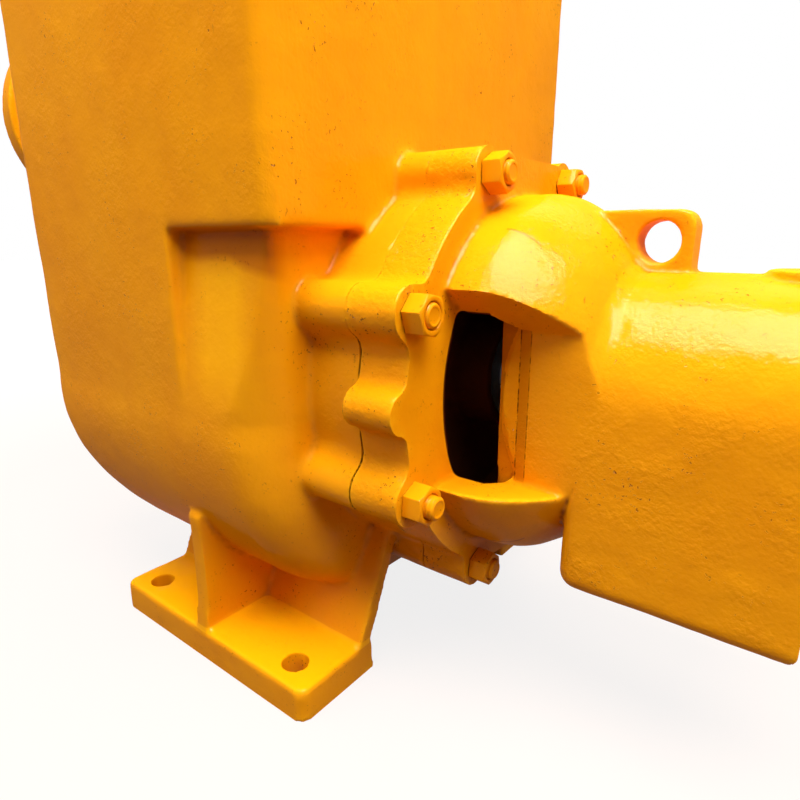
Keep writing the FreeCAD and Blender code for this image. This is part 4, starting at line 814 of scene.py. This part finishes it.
@dataclass(frozen=True)
class HexNut:
    """A hexagon nut or bolt head with chamfered corners.

    Attributes:
        flats: Width across the flats.
        height: Height.
        bore: Bore radius, or 0 for a bolt head.
        washer: Height of the round washer face under it.
    """

    flats: float
    height: float
    bore: float = 0.0
    washer: float = 0.0006

    def add(self, mesh: Shape) -> list:
        """Adds the nut to a mesh, with its bearing face at the origin.

        Args:
            mesh: The mesh to add to.

        Returns:
            The nut's points.
        """
        reach, chamfer = self.flats / math.sqrt(3.0), self.flats * 0.475
        profile = [(self.bore, 0.0), (chamfer, 0.0), (chamfer, self.washer), (reach, self.washer),
                   (reach, self.height), (chamfer, self.height)]
        if self.bore:
            profile += [(self.bore + 0.0006, self.height), (self.bore, self.height - 0.0012)]
        else:
            profile.append((0.0, self.height))
        new = spun(mesh, profile, 48, closed=self.bore > 0.0)
        for vert in new:
            if math.hypot(vert.co.x, vert.co.y) < reach - 1e-6:
                continue
            angle = math.atan2(vert.co.y, vert.co.x)
            side = self.flats / 2 / math.cos(angle % (math.pi / 3) - math.pi / 6)
            vert.co.x, vert.co.y = side * math.cos(angle), side * math.sin(angle)
            if vert.co.z > self.height / 2:
                vert.co.z -= (side - chamfer) * math.tan(math.radians(28))
        return new


@dataclass(frozen=True)
class ThreadedEnd:
    """The free end of a stud, with its thread and a chamfered tip.

    Attributes:
        radius: Thread radius.
        length: Length of the piece.
        thread: Length of thread, counted from the tip.
        pitch: Thread pitch.
    """

    radius: float
    length: float
    thread: float
    pitch: float = 0.002

    def add(self, mesh: Shape) -> list:
        """Adds the stud end to a mesh, with its inner end at the origin.

        Args:
            mesh: The mesh to add to.

        Returns:
            The stud end's points.
        """
        tip = self.length - 0.0015
        profile = [(0.0, 0.0), (self.radius, 0.0)]
        level = self.length - self.thread
        while level + self.pitch < tip:
            profile += [(self.radius, level), (self.radius, level + self.pitch * 0.2),
                        (self.radius - self.pitch * 0.3, level + self.pitch * 0.6)]
            level += self.pitch
        dish = self.radius - 0.0026
        profile += [(self.radius, tip), (self.radius - 0.0015, self.length), (dish, self.length),
                    (dish - 0.0008, self.length - 0.0005), (0.0, self.length - 0.0005)]
        return spun(mesh, profile, 32)


@dataclass(frozen=True)
class FastenerSet:
    """The nuts and studs, or the bolts, of one joint.

    Attributes:
        name: Name of the piece.
        nodes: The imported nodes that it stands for.
        top: The nut or the bolt head.
        shafts: The stud or the shank of each spot.
        ways: Where the tops and the shafts point.
        levels: Where the tops and the shafts start along their axis.
        spots: Each spot's other two coordinates.
        turns: How each top has come to stand, in degrees.
        edge: Width of the softened edges.
    """

    name: str
    nodes: tuple[str, ...]
    top: HexNut
    shafts: list[ThreadedEnd]
    ways: tuple[Way, Way]
    levels: Pair
    spots: list[Pair]
    turns: tuple[float, ...]
    edge: float = 0.0006

    def build(self, finish: Material) -> None:
        """Makes the set, softens its edges and puts it in its nodes' place.

        Args:
            finish: Its material.
        """
        mesh = bmesh.new()
        for spot, shaft, turn in zip(self.spots, self.shafts, self.turns):
            for piece, way, level, angle in zip((self.top, shaft), self.ways, self.levels, (turn, 0.0)):
                settle(mesh, piece.add(mesh), way.at(level, spot), way, angle)
        bmesh.ops.recalc_face_normals(mesh, faces=mesh.faces)
        sharp = [e for e in mesh.edges if len(e.link_faces) == 2 and e.calc_face_angle(0.0) > math.radians(24)]
        bmesh.ops.bevel(mesh, geom=sharp, offset=self.edge, offset_type="OFFSET", affect="EDGES", segments=2,
                        profile=0.5, material=-1, clamp_overlap=True)
        data = as_mesh(self.name, mesh)
        data.set_sharp_from_angle(angle=math.radians(35))
        place(make_object(self.name, data), "pump", finish, Slot.PAINT, *self.nodes)


def spun(mesh: Shape, profile: list[Pair], steps: int, closed: bool = False) -> list:
    """Turns a profile about the Z axis.

    Args:
        mesh: The mesh to add to.
        profile: Radius and height of each point.
        steps: Number of steps round the axis.
        closed: Whether the last point is joined to the first.

    Returns:
        The new points.
    """
    before = set(mesh.verts)
    verts = [mesh.verts.new((radius, 0.0, height)) for radius, height in profile]
    ends = verts[1:] + verts[:1] if closed else verts[1:]
    edges = [mesh.edges.new(pair) for pair in zip(verts, ends)]
    bmesh.ops.spin(mesh, geom=verts + edges, cent=(0, 0, 0), axis=(0, 0, 1), dvec=(0, 0, 0),
                   angle=math.tau, steps=steps, use_merge=True)
    bmesh.ops.remove_doubles(mesh, verts=[v for v in mesh.verts if v not in before], dist=1e-7)
    return [v for v in mesh.verts if v not in before]


def settle(mesh: Shape, verts: list, seat: Place, way: Way, turn: float) -> None:
    """Turns a shape that stands along +Z to its direction and moves it to its place.

    Args:
        mesh: The mesh.
        verts: The shape's points.
        seat: Where its foot goes.
        way: Where its top points.
        turn: Turn about its own line in degrees.
    """
    about = way.value.to_track_quat("Z", "Y").to_matrix().to_4x4()
    matrix = Matrix.Translation(seat) @ about @ Matrix.Rotation(math.radians(turn), 4, "Z")
    bmesh.ops.transform(mesh, matrix=matrix, verts=verts)


def ring_places(circle: float, count: int, first: float, centre: Pair) -> list[Pair]:
    """Lists hole centres on a circle of that diameter, from the angle first in degrees on."""
    turns = [math.radians(first + 360.0 * i / count) for i in range(count)]
    return [(centre[0] + circle / 2 * math.cos(a), centre[1] + circle / 2 * math.sin(a)) for a in turns]


class Finishes:
    """Every material of the pump, made once."""

    def __init__(self) -> None:
        """Makes the materials."""
        thin, even = {"lumps": 0.0001, "grain": 0.00015, "peel": 0.00006}, (1.0, 1.0, 1.0)
        self.cast = CastEnamel("enamel_on_casting").make()
        self.casing = CasingEnamel("enamel_on_casing").make()
        self.nuts = NutEnamel("enamel_on_nuts", **thin).make()
        self.coarse = PedestalEnamel("enamel_on_pedestal", grain=0.00075, peel=0.00013).make()
        self.smooth = CastEnamel("enamel_on_fasteners", **thin).make()
        self.seam = CastEnamel("grimy_joint", colour=(0.035, 0.008, 0.001), deep=(0.012, 0.003, 0.001),
                               rim=(0.05, 0.012, 0.001), groove=(0.012, 0.003, 0.001), gloss=0.5).make()
        steel = PlainFinish("turned_steel")
        iron = PlainFinish("raw_iron", (0.030, 0.028, 0.027), (0.060, 0.026, 0.012), (0.03, 5.0),
                           (0.5, 0.8, 0.6), (0.002, 4.0, 0.6), even, 0.0003, 0.62,
                           smeared=False, metal=0.35, level=0.175)
        rubber = PlainFinish("seal_rubber", (0.018, 0.018, 0.019), (0.06, 0.057, 0.052), (0.02, 4.0),
                             (0.45, 0.8, 1.0), (0.0009, 2.0, 0.5), even, 0.00004, 0.68,
                             smeared=False, metal=0.0)
        brass = PlainFinish("yellow_brass", (0.72, 0.47, 0.17), (0.32, 0.19, 0.07), (0.012, 4.0),
                            (0.4, 0.75, 1.0), (0.0006, 1.0, 0.5), (1.0, 0.1, 0.1), gloss=0.3, smeared=False)
        # The seal plate's dark primed iron also paints the shade in the bell's hollow.
        self.primer_and_shade = replace(iron, name="primed_plate", colour=(0.090, 0.025, 0.007),
                              second=(0.120, 0.036, 0.010), metal=0.0, level=0.0).make()
        self.bearing = replace(steel, name="ground_bearing_steel", colour=(0.68, 0.68, 0.69), gloss=0.16).make()
        self.gasket = replace(rubber, name="gasket_fibre", colour=(0.05, 0.045, 0.04),
                              second=(0.10, 0.09, 0.08)).make()
        seal = replace(steel, name="lapped_seal_face", colour=(0.20, 0.20, 0.22),
                       second=(0.12, 0.12, 0.13), gloss=0.12)
        self.rubber = rubber.make()
        self.by_slot = {Slot.PAINT: self.smooth, Slot.STEEL: steel.make(), Slot.IRON: iron.make(),
                        Slot.RUBBER: self.rubber, Slot.BRASS: brass.make(),
                        Slot.GLASS: GaugeGlass("gauge_glass").make(), Slot.SEAL: seal.make()}

    def dress(self) -> None:
        """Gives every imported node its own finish."""
        own = {"joint_shims": self.seam, "fill_gasket": self.rubber}
        for seat in ("inboard", "outboard"):
            for race in ("outer", "inner"):
                own[f"{seat}_bearing_{race}"] = self.bearing
        for joint in ("discharge", "check_valve", "valve_access", "bearing_cap"):
            own[joint + "_gasket"] = self.gasket
        for part in frame["record"]["subparts"]:
            obj = frame["nodes"].get(part["node"])
            if obj is None:
                continue
            finish = own.get(part["node"], self.by_slot[Slot(part["material_slot"])])
            for holder in obj.material_slots:
                holder.material = finish
            log.info("%s: %s", part["node"], finish.name)


@dataclass
class Castings:
    """The painted castings, from the sump casing to the bearing housing.

    Attributes:
        finishes: The pump's materials.
        joint: Machined joint between casing and housing.
        deck: Machined tops on the deck.
        feet: Machined undersides of the feet.
        suction: Machined joint with the check valve.
        housing_end: Machined face under the bearing cap.
        flange_rim: Front edge of the housing's lobed flange.
    """

    finishes: Finishes
    joint: Zone = Zone(0, 0.148, 0.155)
    deck: Zone = Zone(2, 0.6195, 0.72)
    feet: Zone = Zone(2, -0.01, 0.004)
    suction: Zone = Zone(0, -0.36, -0.206)
    housing_end: Zone = Zone(0, 0.402, 0.42)
    flange_rim: Zone = Zone(0, 0.1885, 0.1935, (0.0, SHAFT_Z), 0.2, 0.146, 0.12)

    def build(self) -> None:
        """Makes every casting's skin."""
        cast, smooth = self.finishes.cast, self.finishes.smooth
        small = (0.001, 8, 16_000, 0.0002, 0.0002)
        skins = (
            CastSkin("pump_casing", "pump", self.finishes.casing, 0.0024, 5, 190_000,
                     crisp=(self.joint, self.deck, self.feet, self.suction) + self.foot_holes(),
                     rolled=self.ledges(), joint=(CASING_FACE_X, 1.0)),
            CastSkin("bearing_housing", "pump", self.finishes.coarse, 0.0017, 5, 185_000,
                     crisp=(self.joint, self.housing_end, self.flange_rim) + self.windows(),
                     joint=(PEDESTAL_FACE_X, -1.0), windows=True),
            CastSkin("discharge_flange", "pump", cast, 0.0018, 7, 60_000,
                     crisp=(Zone(2, 0.60, 0.634), Zone(2, 0.687, 0.70))),
            CastSkin("check_valve_body", "pump", cast, 0.002, 7, 90_000),
            CastSkin("front_cover", "pump", cast, 0.002, 6, 60_000),
            CastSkin("valve_access_cover", "pump", cast, 0.0015, 6, 16_000),
            CastSkin("fill_cover", "pump", cast, 0.0012, 5, 16_000, 0.0003, 0.0002),
            CastSkin("bearing_cap", "pump", cast, 0.0015, 5, 24_000),
            # The seal plate is dark, partly as painted shade in the bell's hollow.
            CastSkin("seal_plate", "pump", self.finishes.primer_and_shade, 0.002, 5, 60_000, slot=Slot.IRON),
            CastSkin("clamp_bar", "clamp", smooth, *small),
            *(CastSkin(f"hand_nut_{n}", f"nut_{n}", smooth, *small) for n in range(1, 5)),
        )
        for skin in skins:
            skin.build()

    def foot_holes(self) -> tuple[Zone, ...]:
        """Gives the drilled holes of the casing's feet."""
        return tuple(Zone(2, -0.01, 0.04, (x, y), 0.014) for x in (-0.095, 0.095) for y in (-0.173, 0.173))

    def windows(self) -> tuple[Zone, ...]:
        """Gives the bell's windows, each as a wide rod and a narrow one above it."""
        return tuple(Zone(1, low, low + 0.14, centre, radius, keep=0.25) for low in (-0.20, 0.06)
                     for centre, radius in (((0.228, 0.248), 0.055), ((0.226, 0.312), 0.030)))

    def ledges(self) -> tuple[Zone, ...]:
        """Gives the edges of the pocket's ledge: one across its end, and one along each side."""
        end, height = CasingEnamel.pocket_end, CasingEnamel.ledge_z
        return (Zone(1, -0.20, 0.20, (end, height), 0.004),
                *(Zone(0, end - 0.106, end, (y, height), 0.004) for y in (-0.198, 0.198)))


@dataclass
class JointFasteners:
    """The studs, nuts and bolts of the pump's joints.

    Attributes:
        finishes: The pump's materials.
        stud_x: Where the studs of the housing joint start.
        turns: How each nut of that joint has come to stand, in degrees.
        ends: How far each stud of that joint comes through its nut.
    """

    finishes: Finishes
    stud_x: float = 0.150
    turns: tuple[float, ...] = (9.0, 0.0, 29.0, -12.0, 25.0, 22.0, 41.0, 15.0)
    ends: tuple[float, ...] = (0.004, 0.0055, 0.003, 0.001, 0.0062, 0.0032, 0.002, 0.005)

    def build(self) -> None:
        """Makes every joint's fasteners."""
        large, middle, head = HexNut(0.024, 0.015, 0.0086), HexNut(0.021, 0.012, 0.0076), HexNut(0.016, 0.007)
        grip = FLANGE_FACE_X - self.stud_x + large.height
        shank = ThreadedEnd(0.005, 0.026, 0.012)
        FastenerSet("housing_joint_fasteners", ("housing_nuts", "housing_studs"), large,
                    [ThreadedEnd(0.008, grip + end, 0.009 + end) for end in self.ends],
                    (Way.PLUS_X, Way.PLUS_X), (FLANGE_FACE_X, self.stud_x),
                    ring_places(0.320, 8, 22.5, (0.0, SHAFT_Z)), self.turns).build(self.finishes.nuts)
        sets = (
            FastenerSet("discharge_joint_fasteners", ("discharge_fasteners",), middle,
                        [ThreadedEnd(0.007, 0.052, 0.012)] * 4, (Way.UP, Way.UP), (0.648, 0.611),
                        ring_places(math.hypot(0.144, 0.144), 4, 45.0, (0.018, 0.0)), (17.0, 40.0, 63.0, 86.0)),
            FastenerSet("valve_joint_fasteners", ("check_valve_fasteners",), middle,
                        [ThreadedEnd(0.007, 0.054, 0.014)] * 6, (Way.MINUS_X, Way.MINUS_X),
                        (-0.238, -0.200), ring_places(0.18905, 6, 30.0, (0.0, SUCTION_Z)),
                        (8.0, 39.0, 70.0, 101.0, 132.0, 163.0)),
            FastenerSet("access_cover_bolts", ("valve_access_bolts",), head, [shank] * 4,
                        (Way.UP, Way.DOWN), (0.599, 0.5995),
                        [(x, y) for x in (-0.404, -0.273) for y in (-0.049, 0.049)],
                        (-453.0, -355.0, -322.0, -224.0)),
            FastenerSet("bearing_cap_bolts", ("bearing_cap_screws",), head, [shank] * 6,
                        (Way.PLUS_X, Way.MINUS_X), (0.422, 0.4225),
                        ring_places(0.122, 6, 0.0, (0.0, SHAFT_Z)), (0.0, 14.0, 28.0, 42.0, 56.0, 70.0)),
        )
        for fasteners in sets:
            fasteners.build(self.finishes.smooth)


@dataclass
class Studio:
    """Floor, lamps, world and the photograph's camera.

    Attributes:
        camera_place: Where the camera stands.
        heading: Direction that it looks in, in degrees from +X.
        pitch: How far it looks down, in degrees.
        roll: How far it leans, in degrees.
        lens: Focal length on a 36 mm sensor, in millimetres.
    """

    camera_place: Place = (0.402, -0.433, 0.349)
    heading: float = 127.8
    pitch: float = 15.2
    roll: float = -0.1
    lens: float = 26.37

    def build(self) -> None:
        """Makes the studio."""
        self.add_floor()
        self.add_world()
        middle, wide = (0.10, -0.05, 0.30), (1.20, 1.20)
        self.add_lamp("top_box", (0.55, -0.42, 1.50), (0.55, -0.42, 0.0), (1.40, 1.05), 48.0)
        self.add_lamp("top_shine", (0.55, -0.42, 1.49), (0.55, -0.42, 0.0), (1.36, 1.00), 160.0,
                      lights=False, only="enamel")
        self.add_lamp("back_box", (0.15, 0.80, 1.45), (0.25, 0.0, 0.30), (1.00, 0.55), 9.0)
        self.add_lamp("left_box", (-1.10, -1.50, 1.50), middle, wide, 18.0, shines=False)
        self.add_lamp("far_box", (-1.00, 1.40, 1.20), (0.0, 0.05, 0.30), wide, 26.0, shines=False)
        self.add_lamp("right_box", (1.80, -0.20, 1.20), middle, wide, 9.0, shines=False)
        self.add_camera()

    def add_floor(self) -> None:
        """Lays the pale floor, which looks white and keeps the pump's shadow."""
        mesh = bmesh.new()
        bmesh.ops.create_grid(mesh, x_segments=1, y_segments=1, size=12.0)
        floor = make_object("floor", as_mesh("floor", mesh))
        mix = Mix(bpy.data.materials.new("pale_floor"))
        worn = mix.remap(mix.noise(0.6, 3.0, 0.5), 0.3, 0.7, 0.0, 0.2)
        away = mix.add("VectorMath", {0: mix.place}, operation="LENGTH").outputs["Value"]
        floor.data.materials.append(mix.finish(
            Base_Color=mix.blend(worn, (0.12, 0.085, 0.06), (0.11, 0.078, 0.055)), Roughness=0.85,
            Specular_IOR_Level=0.1, Emission_Color=(1.0, 1.0, 1.0),
            Emission_Strength=mix.times(mix.seen(), mix.remap(away, 0.6, 1.8, 0.84, 1.0))))

    def add_world(self) -> None:
        """Makes the warm even light, and the white that the camera and shiny surfaces see."""
        bpy.context.scene.world = bpy.data.worlds.new("studio")
        sky = Mix(bpy.context.scene.world, "Background")
        sky.finish(Color=sky.blend(sky.seen(), (0.160, 0.105, 0.065), (1.0, 1.0, 1.0)))

    def add_lamp(self, name: str, spot: Place, aim: Place, size: Pair, power: float,
                 lights: bool = True, shines: bool = True, only: str = "") -> None:
        """Hangs a soft box.

        Args:
            name: Name of the lamp.
            spot: Where it hangs.
            aim: What it points at.
            size: Width and depth of the box.
            power: Power in watts.
            lights: Whether it lights matt surfaces.
            shines: Whether glossy surfaces mirror it.
            only: Start of the names of the finishes that it reaches, where it doesn't reach all.
        """
        data = bpy.data.lights.new(name, "AREA")
        data.shape, data.energy = "RECTANGLE", power
        data.size, data.size_y = size
        lamp = make_object(name, data)
        lamp.visible_diffuse, lamp.visible_glossy = lights, shines
        if only:
            reached = bpy.data.collections.new(name + "_reach")
            for piece in bpy.data.objects:
                if any(holder.name.startswith(only) for holder in piece.material_slots):
                    reached.objects.link(piece)
            lamp.light_linking.receiver_collection = reached
        lamp.location = spot
        lamp.rotation_euler = (Vector(aim) - Vector(spot)).to_track_quat("-Z", "Y").to_euler()

    def add_camera(self) -> None:
        """Stands the camera where the photograph was taken."""
        data = bpy.data.cameras.new("camera")
        data.lens, data.sensor_width = self.lens, 36.0
        data.clip_start, data.clip_end = 0.01, 50.0
        camera = make_object("camera", data)
        stand = Matrix.Translation(self.camera_place)
        for degrees, axis in ((self.heading - 90.0, "Z"), (90.0 - self.pitch, "X"), (self.roll, "Z")):
            stand = stand @ Matrix.Rotation(math.radians(degrees), 4, axis)
        camera.matrix_world = stand
        bpy.context.scene.camera = camera


def main() -> None:
    """Dresses the pump and builds the studio."""
    logging.basicConfig(level=logging.INFO, format="%(name)s %(message)s")
    finishes = Finishes()
    finishes.dress()
    Castings(finishes).build()
    JointFasteners(finishes).build()
    Studio().build()
    bpy.context.scene.view_settings.view_transform = "Standard"


if __name__ == "__main__":
    main()
